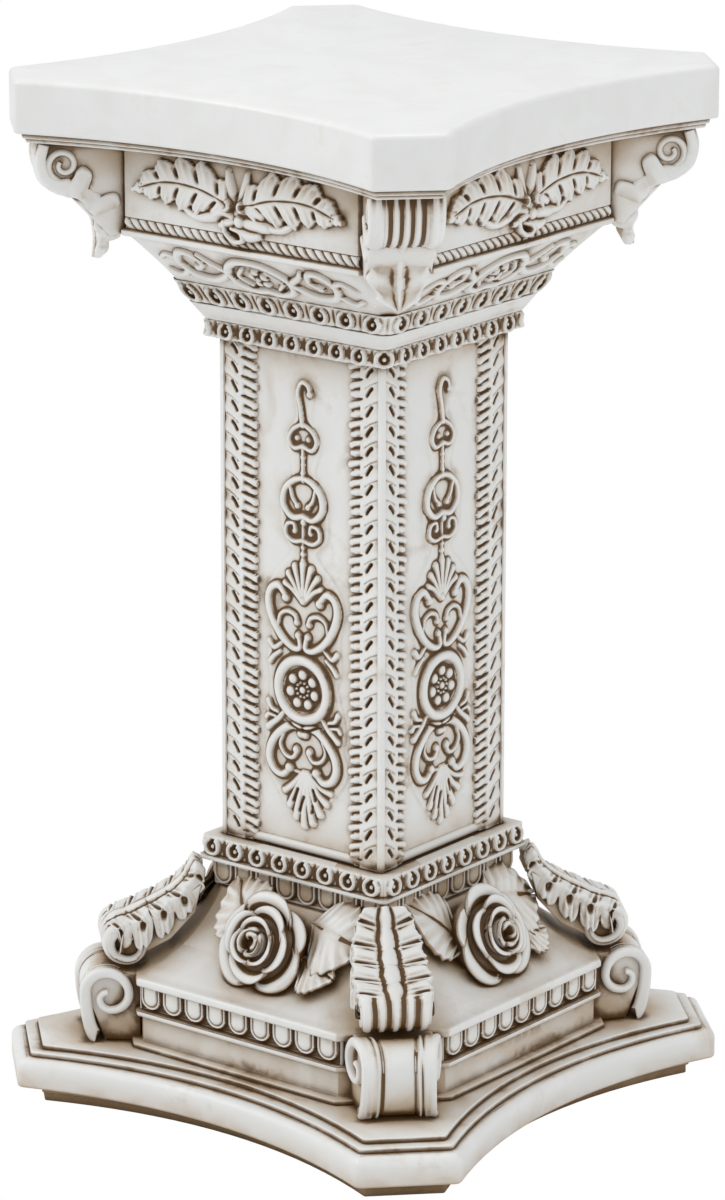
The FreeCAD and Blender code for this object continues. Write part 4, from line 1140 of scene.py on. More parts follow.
@dataclass
class ShaftPanels:
    """Shaft with reeded corners, and the border leaves and hanging ornament of each panel."""

    half: float = 29.3
    ground: float = 27.3
    lower: float = 76.0
    upper: float = 223.8

    def shaft(self) -> bpy.types.Mesh:
        """Square tube with sunk panels between reeded corner posts."""
        bm = bmesh.new()
        post, reed = self.half - 1.9, 0.75
        section = []
        for quarter in range(4):
            turn = math.radians(90.0 * quarter)
            rows = [(-post, -self.ground), (post, -self.ground), (post, -self.half + 0.35),
                    (post + 0.3, -self.half + 0.05)]
            for index in range(7):
                angle = math.radians(-90.0 + 15.0 * index)
                rows.append((self.half - reed + reed * math.cos(angle) * 0.9,
                             -self.half + reed + reed * math.sin(angle) * 0.9))
            rows.append((self.half - 0.05, -post - 0.3))
            rows.append((self.half - 0.35, -post))
            for x, y in rows:
                section.append((x * math.cos(turn) - y * math.sin(turn),
                                x * math.sin(turn) + y * math.cos(turn)))
        for x, y in section:
            bm.verts.new((x, y, low("tongue_ring") + 0.2))
        top = extruded(bm, [bm.faces.new(bm.verts)])
        bmesh.ops.translate(bm, verts=top, vec=(0.0, 0.0, high("shaft") - low("tongue_ring") - 1.0))
        bmesh.ops.recalc_face_normals(bm, faces=bm.faces)
        return mesh_from(bm, "shaft_posts")

    def border(self) -> bpy.types.Mesh:
        """Leaf border of one panel: overlapping leaves that lean to the middle, and a rail at its foot."""
        relief = Relief(-27.6, self.lower, 55.2, self.upper - self.lower, 0.32)
        pitch = 5.62
        count = int((self.upper - self.lower) / pitch) + 1
        for hand in (-1.0, 1.0):
            edge = np.clip((np.abs(relief.x) - 20.6) / 0.5, 0.0, 1.0) * (relief.x * hand > 0)
            wave = 0.14 * np.cos((relief.z - self.lower - np.abs(relief.x) * 0.75) * 2 * np.pi / pitch)
            under = np.clip((np.abs(relief.x) - 18.0) / 0.5, 0.0, 1.0) * (relief.x * hand > 0)
            strip = 0.95 * under + 0.5 * edge + wave * edge
            relief.depth = np.where(under > 0, np.maximum(relief.depth, strip), relief.depth)
            for index in range(count):
                z = self.lower + 4.2 + pitch * index
                jig = 0.3 * math.sin(2.4 * index + hand)
                relief.stroke([(hand * 22.6, z + 2.6), (hand * 20.0, z + 2.0),
                               (hand * (17.3 + jig), z + 1.0)], 1.6, 1.15, 1.45)
                relief.stroke([(hand * 22.6, z + 0.0), (hand * 20.2, z - 0.6),
                               (hand * 17.8, z - 1.5 + jig)], 1.6, 1.05, 1.4)
            for index in range(count):
                z = self.lower + 4.2 + pitch * index
                lean = 0.25 * math.sin(1.7 * index)
                slit = [(hand * 24.9, z + 1.5 + lean), (hand * 24.0, z + 0.4), (hand * 23.2, z - 0.9)]
                relief.carve(slit, 0.46, 1.5, 0.36)
                relief.carve([(hand * 26.9, z + 3.6), (hand * 24.6, z + 2.6), (hand * 22.6, z + 1.2)], 0.22,
                             0.28, 0.2)
                relief.carve([(hand * 21.6, z - 1.9), (hand * 19.4, z - 2.5), (hand * 17.4, z - 2.9)], 0.18,
                             1.3, 0.5)
                relief.carve([(hand * 20.6, z + 0.8), (hand * 18.6, z + 0.3)], 0.26, 0.6, 0.3)
        relief.stroke([(-26.8, self.lower + 1.3), (26.8, self.lower + 1.3)], 1.35, 1.35, 1.0)
        relief.stroke([(-26.8, self.upper - 0.8), (26.8, self.upper - 0.8)], 0.8, 0.8, 0.8)
        keep = (np.abs(relief.x) > 16.3) | (relief.z < self.lower + 3.2) | (relief.z > self.upper - 2.0)
        relief.depth = np.where(keep, relief.depth, -9.0)
        return relief.mesh("leaf_border", self._wrap)

    def drop(self) -> bpy.types.Mesh:
        """Hanging ornament of one panel."""
        f = Relief(-17.0, 81.0, 34.0, 136.0, 0.28)
        f.plate([(0, 82.5), (6, 87.5), (10.5, 93), (15.2, 99), (16.4, 104), (14.5, 109), (15.5, 113),
                 (14.5, 120), (12.5, 127), (14.0, 132), (13.5, 141), (14.8, 149), (13.5, 155), (9.5, 160),
                 (5.0, 165), (9, 170), (8.5, 181), (4.6, 188), (6.8, 197), (3.4, 204), (4.0, 213), (0, 216),
                 (-3.2, 211), (-3.0, 204), (-6.6, 198), (-4.4, 188), (-8, 180), (-8, 171), (-5.0, 165),
                 (-9, 160), (-13, 154), (-13.4, 147), (-12, 139), (-13.5, 132), (-12.5, 124), (-14, 117),
                 (-13.4, 111), (-15, 104), (-13.5, 98), (-9, 91), (-5, 86.5)], 0.32, 0.9)
        self._palmette(f)
        self._lyre(f)
        self._medallion(f)
        self._heart(f)
        self._stem(f)
        return f.mesh("panel_drop", self._wrap)

    def _wrap(self, x: Points, z: Points, depth: Points) -> Points:
        """Places of relief points over the ground of the front panel."""
        return np.stack([x, -(self.ground + np.minimum(depth, PANEL_RELIEF)), z], axis=1)

    @staticmethod
    def _palmette(f: Relief) -> None:
        """Fan of flutes that hangs below the lyre."""
        for tip, half in (((-6.6, 93.5), 1.3), ((-4.9, 89.4), 1.4), ((-2.6, 86.2), 1.5), ((0.3, 84.2), 1.6),
                          ((3.2, 85.4), 1.5), ((6.0, 88.4), 1.5), ((8.3, 92.0), 1.4), ((9.9, 95.4), 1.2)):
            f.stroke([(0.6 + tip[0] * 0.12, 100.0), (tip[0] * 0.62, (tip[1] + 97.5) / 2), tip], 0.8, half,
                     1.15)
        for cut in (((-3.4, 91.0), (-2.0, 94.6)), ((-1.2, 88.4), (0.2, 92.6)), ((3.2, 88.6), (3.4, 90.2)),
                    ((4.4, 92.4), (3.6, 95.2))):
            f.carve(list(cut), 0.5, 1.3)

    @staticmethod
    def _lyre(f: Relief) -> None:
        """Two large hooks with smaller volutes inside them, and sprigs outside."""
        big = [(-0.6, 111.0), (-1.2, 113.2), (-4.6, 113.2), (-8.4, 110.6), (-11.4, 106.6), (-12.1, 102.6),
               (-10.4, 99.2), (-7.4, 98.2), (-4.9, 100.2)]
        small = [(-7.0, 110.4), (-8.2, 107.2), (-6.6, 104.4), (-3.8, 103.8), (-2.0, 106.0)]
        sprig = [(-7.0, 116.8), (-9.2, 114.2), (-11.2, 112.6), (-12.6, 111.4)]
        for hand in (1.0, -1.0):
            f.stroke([(hand * x, z) for x, z in big], 1.05, 1.15, 1.75, 0.0, 0.45)
            f.ball(hand * -4.9, 100.6, 1.6, 1.9)
            f.ball(hand * -0.8, 111.4, 1.35, 1.7)
            f.stroke([(hand * x, z) for x, z in small], 0.6, 0.85, 1.5)
            f.ball(hand * -2.4, 106.4, 1.35, 1.7)
            f.stroke([(hand * x, z) for x, z in sprig], 0.9, 1.3, 1.3)
            f.stroke([(hand * -9.2, 116.4), (hand * -11.4, 117.2), (hand * -12.6, 119.2)], 0.7, 1.1, 1.25)
            f.stroke([(hand * -10.0, 115.0), (hand * -12.4, 115.2), (hand * -13.4, 114.2)], 0.7, 0.9, 1.1)
            f.carve([(hand * -9.6, 115.6), (hand * -12.0, 116.0)], 0.35, 0.8)
        f.carve([(-6.5, 114.9), (-2.4, 112.9), (0.0, 112.6), (2.4, 112.9), (6.5, 114.9)], 0.55, 1.2)
        f.stroke([(-3.2, 99.9), (0.0, 99.6), (3.2, 99.9)], 0.55, 0.55, 0.8)

    @staticmethod
    def _medallion(f: Relief) -> None:
        """Round medallion with a flower of seven petals on a dished ground."""
        x0, z0 = 0.0, 124.6
        area = f.window(np.array([(x0, z0), (x0, z0)]), 12.0)
        r = np.hypot(f.x[area] - x0, f.z[area] - z0)
        dish = np.where(r < 8.6, 0.18 + 0.35 * (r / 8.6) ** 3, f.depth[area])
        f.depth[area] = np.where(r < 8.6, dish, f.depth[area])
        f.ring(x0, z0, 8.7, 1.75, 1.9, 0.1)
        f.ring(x0, z0, 6.9, 0.45, 0.75, 0.1)
        for index in range(7):
            a = math.radians(90 + index * 360 / 7)
            f.ball(x0 + 4.5 * math.cos(a), z0 + 4.5 * math.sin(a), 1.75, 1.55, 0.1)
        for index in range(10):
            a = math.radians(index * 36)
            f.ball(x0 + 2.15 * math.cos(a), z0 + 2.15 * math.sin(a), 0.5, 1.3, 0.15)
        f.ball(x0, z0, 1.25, 1.5, 0.1)

    @staticmethod
    def _heart(f: Relief) -> None:
        """Upper pair of hooks with inner volutes, and the shell above them."""
        big = [(-1.4, 140.2), (-1.0, 137.0), (-3.6, 136.6), (-7.8, 139.4), (-11.0, 144.2), (-12.4, 149.0),
               (-11.4, 152.8), (-8.6, 154.0), (-6.0, 151.4)]
        small = [(-9.0, 142.2), (-8.2, 145.6), (-5.6, 147.0), (-2.8, 146.2), (-2.0, 144.2)]
        for hand in (1.0, -1.0):
            f.stroke([(hand * x, z) for x, z in big], 0.95, 1.15, 1.7, 0.0, 0.4)
            f.ball(hand * -6.1, 151.0, 1.5, 1.85)
            f.ball(hand * -1.7, 140.4, 1.25, 1.6)
            f.stroke([(hand * x, z) for x, z in small], 0.6, 0.8, 1.4)
            f.ball(hand * -2.2, 144.2, 1.15, 1.55)
            f.stroke([(hand * -7.6, 137.4), (hand * -10.4, 135.4), (hand * -12.2, 137.0)], 0.7, 1.1, 1.2)
            f.stroke([(hand * -8.4, 134.6), (hand * -10.6, 132.8), (hand * -12.0, 131.0)], 0.8, 1.0, 1.15)
        for tip, half in (((-6.4, 155.2), 1.1), ((-5.2, 158.2), 1.2), ((-2.9, 160.6), 1.3),
                          ((0.0, 161.6), 1.4), ((2.9, 160.6), 1.3), ((5.2, 158.2), 1.2),
                          ((6.4, 155.2), 1.1)):
            f.stroke([(tip[0] * 0.1, 150.6), (tip[0] * 0.6, (tip[1] + 152.5) / 2), tip], 0.7, half, 1.35)
        f.ball(0.0, 150.8, 1.3, 1.6)

    @staticmethod
    def _stem(f: Relief) -> None:
        """Beaded stem with two bows, a heart-shaped ring and a hook at the top."""
        for z, radius in ((162.8, 0.9), (164.6, 1.1), (166.6, 0.9), (188.2, 1.0), (190.6, 0.85),
                          (192.8, 1.0)):
            f.ball(0.0, z, radius, 1.25)
        f.stroke([(0.0, 161.0), (0.0, 176.0)], 0.7, 0.6, 0.95)
        for hand in (1.0, -1.0):
            f.stroke([(0.0, 168.6), (hand * 3.4, 168.0), (hand * 6.0, 169.8), (hand * 5.6, 172.6),
                      (hand * 3.2, 173.2), (hand * 2.6, 171.2)], 0.75, 0.75, 1.35)
            f.ball(hand * 2.9, 171.0, 0.95, 1.35)
            f.stroke([(0.0, 175.6), (hand * 3.8, 175.0), (hand * 6.9, 178.2), (hand * 6.4, 182.6),
                      (hand * 3.4, 185.6), (0.0, 186.8)], 1.0, 0.9, 1.5, 0.0, 0.25)
            f.stroke([(hand * 4.6, 184.0), (hand * 3.6, 180.6), (hand * 1.9, 178.6)], 0.7, 0.7, 1.25)
            f.ball(hand * 1.9, 178.5, 1.05, 1.5)
            f.stroke([(0.0, 196.0), (hand * 3.2, 195.2), (hand * 4.9, 197.6), (hand * 3.6, 200.4),
                      (0.0, 202.6)], 0.75, 0.7, 1.3)
            f.ball(hand * 2.0, 198.2, 0.9, 1.35)
        f.ball(0.4, 174.0, 1.25, 1.6)
        f.stroke([(0.0, 186.0), (0.0, 196.0)], 0.8, 0.7, 1.1)
        f.stroke([(0.0, 202.0), (-0.8, 207.0), (-1.6, 211.6), (-0.2, 214.4), (2.0, 213.6), (2.6, 211.4)],
                 0.9, 0.8, 1.45)
        f.ball(2.5, 211.3, 1.15, 1.6)

    def build(self, finish: bpy.types.Material, ornament: bpy.types.Material) -> None:
        """Makes the shaft and the ornament of its four panels."""
        make_piece("shaft_posts", self.shaft(), finish, ["shaft"], smooth=False)
        border, drop = self.border(), self.drop()
        for side in Side:
            make_piece(f"leaf_border_{label(side)}", border, ornament, [f"panel_frame_{label(side)}"],
                       side.value)
            make_piece(f"hanging_scrolls_{label(side)}", drop, ornament, [f"panel_drop_{label(side)}"],
                       side.value)


@dataclass
class Rings:
    """Rings round the head and foot of the shaft, and the rows of tongues on the base."""

    tongue_half: float = 30.9
    bead_half: float = 33.4
    collar_half: float = 32.5
    band_half: float = 36.1
    row_half: float = 39.4

    def build(self, finish: bpy.types.Material, ornament: bpy.types.Material) -> None:
        """Makes the rings and the rows."""
        base, top = low("tongue_ring"), high("tongue_ring")
        tongues = RingBand(self.tongue_half, self.tongue_half, base, top, 0.6,
                           tongue_motif(8, base, 6.9, 1.0))
        make_piece("foot_tongues", tongues.mesh("foot_tongues"), ornament, ["tongue_ring"])
        base, top = low("bead_ring"), high("bead_ring")
        beads = RingBand(self.bead_half, self.bead_half, base, top, 0.9,
                         bead_motif(8, base, top, 3.1, 1.5, False))
        make_piece("foot_beads", beads.mesh("foot_beads"), ornament, ["bead_ring"])
        base, top = high("shaft") - 10.5, low("plain_band")
        collar = RingBand(self.collar_half, self.collar_half, base, top, 3.6,
                          bead_motif(8, base, top, 2.75, 0.0, True))
        make_piece("collar_cups", collar.mesh("collar_cups"), ornament, ["collar_beads"])
        base, top = low("plain_band"), high("plain_band")
        band = RingBand(self.collar_half + 0.3, self.band_half, base, top, 3.4,
                        lambda run, side, z: run * 0.0)
        make_piece("plain_band_cast", band.mesh("plain_band_cast"), finish, ["plain_band"])
        base, top = low("upper_beads"), high("upper_beads")
        upper = RingBand(self.band_half - 0.1, self.row_half, base, top, 3.4,
                         bead_motif(8, base, top, 3.1, 0.0, False))
        make_piece("upper_cups", upper.mesh("upper_cups"), ornament, ["upper_beads"])
        strip = TongueRow(9, 8.1, 7.4, low("tongue_strip_front"), high("tongue_strip_front"), 36.9, 56.7,
                          1.8).mesh("strip")
        for side in Side:
            make_piece(f"tongue_row_{label(side)}", strip, ornament, [f"tongue_strip_{label(side)}"],
                       side.value)


@dataclass
class CornerScrolls:
    """Scroll bolsters, acanthus consoles and capital volutes of the four corners."""

    bolster_reach: float = 83.6
    floor: float = 17.3
    neck: float = 66.2

    def bolster(self) -> bpy.types.Mesh:
        """Band that rises from the plinth and rolls inward, with a raised middle."""
        reach, floor = self.bolster_reach, self.floor
        eye = floor + 14.7
        tail = np.array([(reach - 3.9 * (1 - math.sin(a)),
                          floor + 14.7 * (1 - math.cos(a))) for a in np.linspace(0.0, math.pi / 2, 14)])
        roll = quarter_turns((reach, eye), 90.0, [7.7, 7.3, 6.2, 4.0, 3.0], 1.0)
        path = np.vstack([tail, roll[1:]])

        def width(share: Points) -> Points:
            """Half width along the path."""
            d = np.interp(share, np.linspace(0, 1, len(path)), resample(path, len(path))[0][:, 0])
            return 10.5 + CORNER_FLARE * (reach - d)

        def thick(share: Points) -> Points:
            """Thickness along the path."""
            return 3.7 - 2.1 * share

        def skin(share: Points, y: Points, down: Points) -> Points:
            """Carving of the surface."""
            rib = -0.7 * (1 / (1 + np.exp((np.abs(y) - 0.40) * 60)))
            groove = -1.3 * np.exp(-(((np.abs(y) - 0.45) / 0.04) ** 2))
            groove = groove - 0.6 * np.exp(-(((np.abs(y) - 0.62) / 0.03) ** 2))
            lip = 0.25 * np.exp(-(((np.abs(y) - 0.93) / 0.06) ** 2))
            return np.where(down < 0.8, rib + groove + lip, 0.0)

        band = Scroll(path, width, thick, skin, 200, 80).mesh("bolster_band")
        hub = quarter_turns((reach - 0.9, eye), 90.0, [6.7, 6.5, 6.3, 6.1], 1.0)
        core = self._core(list(hub) + [(reach - 5.4, floor + 6.0), (reach - 7.0, floor + 0.05),
                                       (self.neck, floor + 0.05), (self.neck, eye + 6.0)], 8.0, reach)
        return merged("bolster", [band, core])

    @staticmethod
    def _core(outline: Path2, half: float, reach: float, flare: float = CORNER_FLARE) -> bpy.types.Mesh:
        """Flat-sided filling inside a scroll.

        Args:
            outline: points as d and z, whose convex outline is filled.
            half: half width at the reach.
            reach: d at which that half width holds.
            flare: growth of the half width for each millimetre inwards.

        Returns:
            Closed mesh in millimetres, with d along +X.
        """
        bm = bmesh.new()
        for d, z in outline:
            bm.verts.new((d, 0.0, z))
        bmesh.ops.convex_hull(bm, input=bm.verts)
        bmesh.ops.delete(bm, geom=[v for v in bm.verts if not v.link_faces], context="VERTS")
        bmesh.ops.delete(bm, geom=bm.faces[:], context="FACES_ONLY")
        bmesh.ops.delete(bm, geom=bm.edges[:], context="EDGES_FACES")
        rim = bm.verts[:]
        centre = Vector((sum(v.co.x for v in rim) / len(rim), 0.0, sum(v.co.z for v in rim) / len(rim)))
        rim.sort(key=lambda v: math.atan2(v.co.z - centre.z, v.co.x - centre.x))
        moved = set(extruded(bm, [bm.faces.new(rim)]))
        for vert in bm.verts:
            side = 1.0 if vert in moved else -1.0
            vert.co.y = side * (half + flare * (reach - vert.co.x))
        bmesh.ops.recalc_face_normals(bm, faces=bm.faces)
        soften(bm, [e for e in bm.edges if e.calc_face_angle(0) > 0.6], 0.5, 2)
        return mesh_from(bm, "core")

    def console(self) -> bpy.types.Mesh:
        """Acanthus leaf that falls from the shaft's corner and rolls up over the bolster."""
        back = spline([(49.4, 69.0), (50.8, 66.8), (52.7, 63.4), (57.0, 59.8), (63.5, 56.3), (70.2, 53.3)],
                      10)
        roll = quarter_turns((70.2, 53.3), 0.0, [6.4, 7.0, 5.2, 4.1, 2.9], -1.0)
        path = np.vstack([back, roll[1:]])
        first, pitch, leafy_end = 0.045, 0.098, 0.50

        def hang(share: Points) -> Points:
            """Depth of the sides along the path."""
            local = ((share - first) / pitch + 0.5) % 1.0 - 0.5
            deep = np.interp(share, [0.0, 0.045, 0.143, 0.241, 0.339, 0.437, 0.5],
                             [4.2, 5.2, 7.4, 9.2, 9.8, 8.8, 7.0])
            lobe = np.clip(1.0 - np.abs(2.0 * local) ** 3.5, 0.0, 1.0) ** 0.6
            finger = 0.16 * np.exp(-((local / 0.07) ** 2))
            depth = 3.2 + (deep - 3.2) * np.clip(lobe - finger, 0.0, 1.0)
            fade = np.clip((leafy_end - share) / 0.04, 0.0, 1.0)
            rolled = 3.5 - 2.2 * np.clip((share - leafy_end) / 0.5, 0.0, 1.0)
            return depth * fade + rolled * (1 - fade)

        def width(share: Points) -> Points:
            """Half width along the path."""
            base = np.interp(share, [0.0, 0.12, 0.35, 0.55, 0.75, 1.0], [6.6, 9.8, 11.4, 10.0, 9.4, 9.8])
            wave = 0.7 * np.cos((share - first) * 2 * np.pi / pitch)
            return base + wave * np.clip((leafy_end - share) / 0.05, 0.0, 1.0)

        def skin(share: Points, y: Points, down: Points) -> Points:
            """Carving of the surface."""
            leafy = np.clip((leafy_end - share) / 0.06, 0.0, 1.0)
            spread = (share - first + 0.05 * np.abs(y)) / pitch
            gap = spread % 1.0 - 0.5
            side = down > 1.0
            half_gap = (2.0 * spread) % 1.0 - 0.5
            crease = -0.8 * np.exp(-((gap / 0.09) ** 2)) - 0.45 * np.exp(-((half_gap / 0.16) ** 2))
            veins = crease * np.clip((np.abs(y) - 0.24) / 0.2, 0.0, 1.0) * ~side + 0.7 * crease * side
            eyes = -1.9 * np.exp(-((gap / 0.16) ** 2)) * np.exp(-(((down - 2.9) / 1.3) ** 2)) * side
            outward = np.clip((np.abs(y) - 0.48) / 0.3, 0.0, 1.0)
            notch = -0.9 * np.exp(-((gap / 0.12) ** 2)) * outward * ~side
            furrows = 0.9 * np.exp(-(((np.abs(y) - 0.25) / 0.05) ** 2))
            rib = (0.75 * np.exp(-((y / 0.13) ** 2)) - furrows) * ~side
            roll = np.where(side, 0.3 * np.exp(-(((down - 0.9) / 0.5) ** 2)),
                            0.42 * np.cos(y * np.pi * 5.0))
            return leafy * (veins + eyes + notch + rib) + (1 - leafy) * roll

        band = Scroll(path, width, hang, skin, 300, 96, outer=1.0, lean=-0.40).mesh("console_leaf")
        core = self._core([(48.0, 63.4), (73.0, 49.4), (74.4, 46.0), (71.6, 41.4), (66.0, 42.4),
                           (57.0, 47.0), (50.0, 55.0)], 7.4, 76.0, 0.05)
        return merged("console", [band, core])

    def volute(self) -> bpy.types.Mesh:
        """Capital volute: fluted front strip, side plates with an eye, leaf fingers and a hanging tail."""
        path = spline([(91.8, 281.8), (92.9, 277.0), (91.6, 271.6), (87.6, 268.2), (82.6, 266.2),
                       (78.6, 263.0), (76.4, 258.0), (75.8, 252.6), (76.2, 247.4)], 12)

        def width(share: Points) -> Points:
            """Half width along the path."""
            base = np.interp(share, [0.0, 0.55, 0.78, 0.92, 1.0], [10.5, 10.0, 8.4, 6.2, 1.6])
            wave = 0.9 * np.cos((share - 0.50) * 2 * np.pi / 0.16)
            leafy = np.clip((share - 0.42) / 0.1, 0.0, 1.0)
            return base + wave * leafy * np.clip((1.0 - share) / 0.1, 0.0, 1.0)

        fingers = ((0.50, 9.4), (0.66, 9.4), (0.82, 7.0))

        def hang(share: Points) -> Points:
            """Depth of the sides along the path."""
            depth = np.interp(share, [0.0, 0.12, 0.32, 0.42, 0.6, 0.85, 1.0],
                              [2.9, 3.1, 3.3, 4.6, 5.2, 4.0, 1.6])
            for tip, deep in fingers:
                depth = np.maximum(depth, deep * np.exp(-(((share - tip) / 0.052) ** 4)))
            return depth

        def skin(share: Points, y: Points, down: Points) -> Points:
            """Carving of the surface."""
            flutes = 0.42 * np.cos(y * np.pi * 7.0) * (np.abs(y) < 0.56)
            rim = 0.75 * np.exp(-(((np.abs(y) - 0.72) / 0.10) ** 2))
            front = down < 1.2
            upper = np.clip((0.72 - share) / 0.12, 0.0, 1.0)
            side = down >= 1.2
            leafy = np.clip((share - 0.40) / 0.1, 0.0, 1.0)
            fold = np.cos((share - 0.50 + 0.06 * np.abs(y)) * 2 * np.pi / 0.16)
            finger = 0.5 * fold * leafy * side
            midrib = 0.8 * np.exp(-((y / 0.14) ** 2))
            veins = leafy * (0.45 * fold * np.clip(np.abs(y) * 1.6 - 0.3, 0.0, 1.0) + midrib)
            return np.where(front, (flutes + rim) * upper * (1 - leafy * 0.6) + veins, finger)

        plates = Scroll(path, width, hang, skin, 220, 90, outer=1.0).mesh("volute_plates")
        spiral = self._spiral_line((85.0, 275.6), 4.6, 9.5)
        web = self._core([(90.4, 281.9), (90.8, 277.0), (88.0, 271.6), (73.6, 259.0), (72.4, 255.0),
                          (68.2, 256.0), (67.9, 281.9)], 9.0, 92.0, 0.0)
        return merged("volute", [plates, web, spiral])

    @staticmethod
    def _spiral_line(eye: tuple[float, float], radius: float, half: float) -> bpy.types.Mesh:
        """Raised spiral cord on both side plates, round an eye given as d and z."""
        cords = []
        for hand in (-1.0, 1.0):

            def place(u: Points, v: Points, hand: float = hand) -> Points:
                """Point of the cord, from round its section and along it."""
                a = -0.4 * math.pi + v * 2.6 * math.pi
                r = radius * (1.0 - 0.80 * v) + 0.2
                tube = 1.0 * (1.0 - 0.3 * v)
                ring = u * 2 * math.pi
                d = eye[0] + (r + tube * np.cos(ring)) * np.cos(a)
                z = eye[1] + (r + tube * np.cos(ring)) * np.sin(a)
                return np.stack([d, hand * (half - 0.5) + hand * tube * np.sin(ring), z], axis=1)

            cords.append(weld(sheet("cord", 10, 60, place), 0.01))
        return merged("spiral", cords)

    def build(self, ornament: bpy.types.Material) -> None:
        """Makes the three scrolls of every corner."""
        for name, node, mesh in (
            ("scroll_bolster", "corner_bolster", self.bolster()),
            ("leaf_console", "acanthus_console", self.console()),
            ("hanging_volute", "capital_volute", self.volute()),
        ):
            for corner in Corner:
                make_piece(f"{name}_{label(corner)}", mesh, ornament, [f"{node}_{label(corner)}"],
                           corner.value)


@dataclass(frozen=True)
class Petal:
    """One petal of a rose.

    Attributes:
        turn: direction round the flower in degrees.
        radius: distance of its rim from the axis.
        sweep: angle it spans.
        height: height of its rim.
        curl: how far the rim rolls outwards.
    """

    turn: float
    radius: float
    sweep: float
    height: float
    curl: float


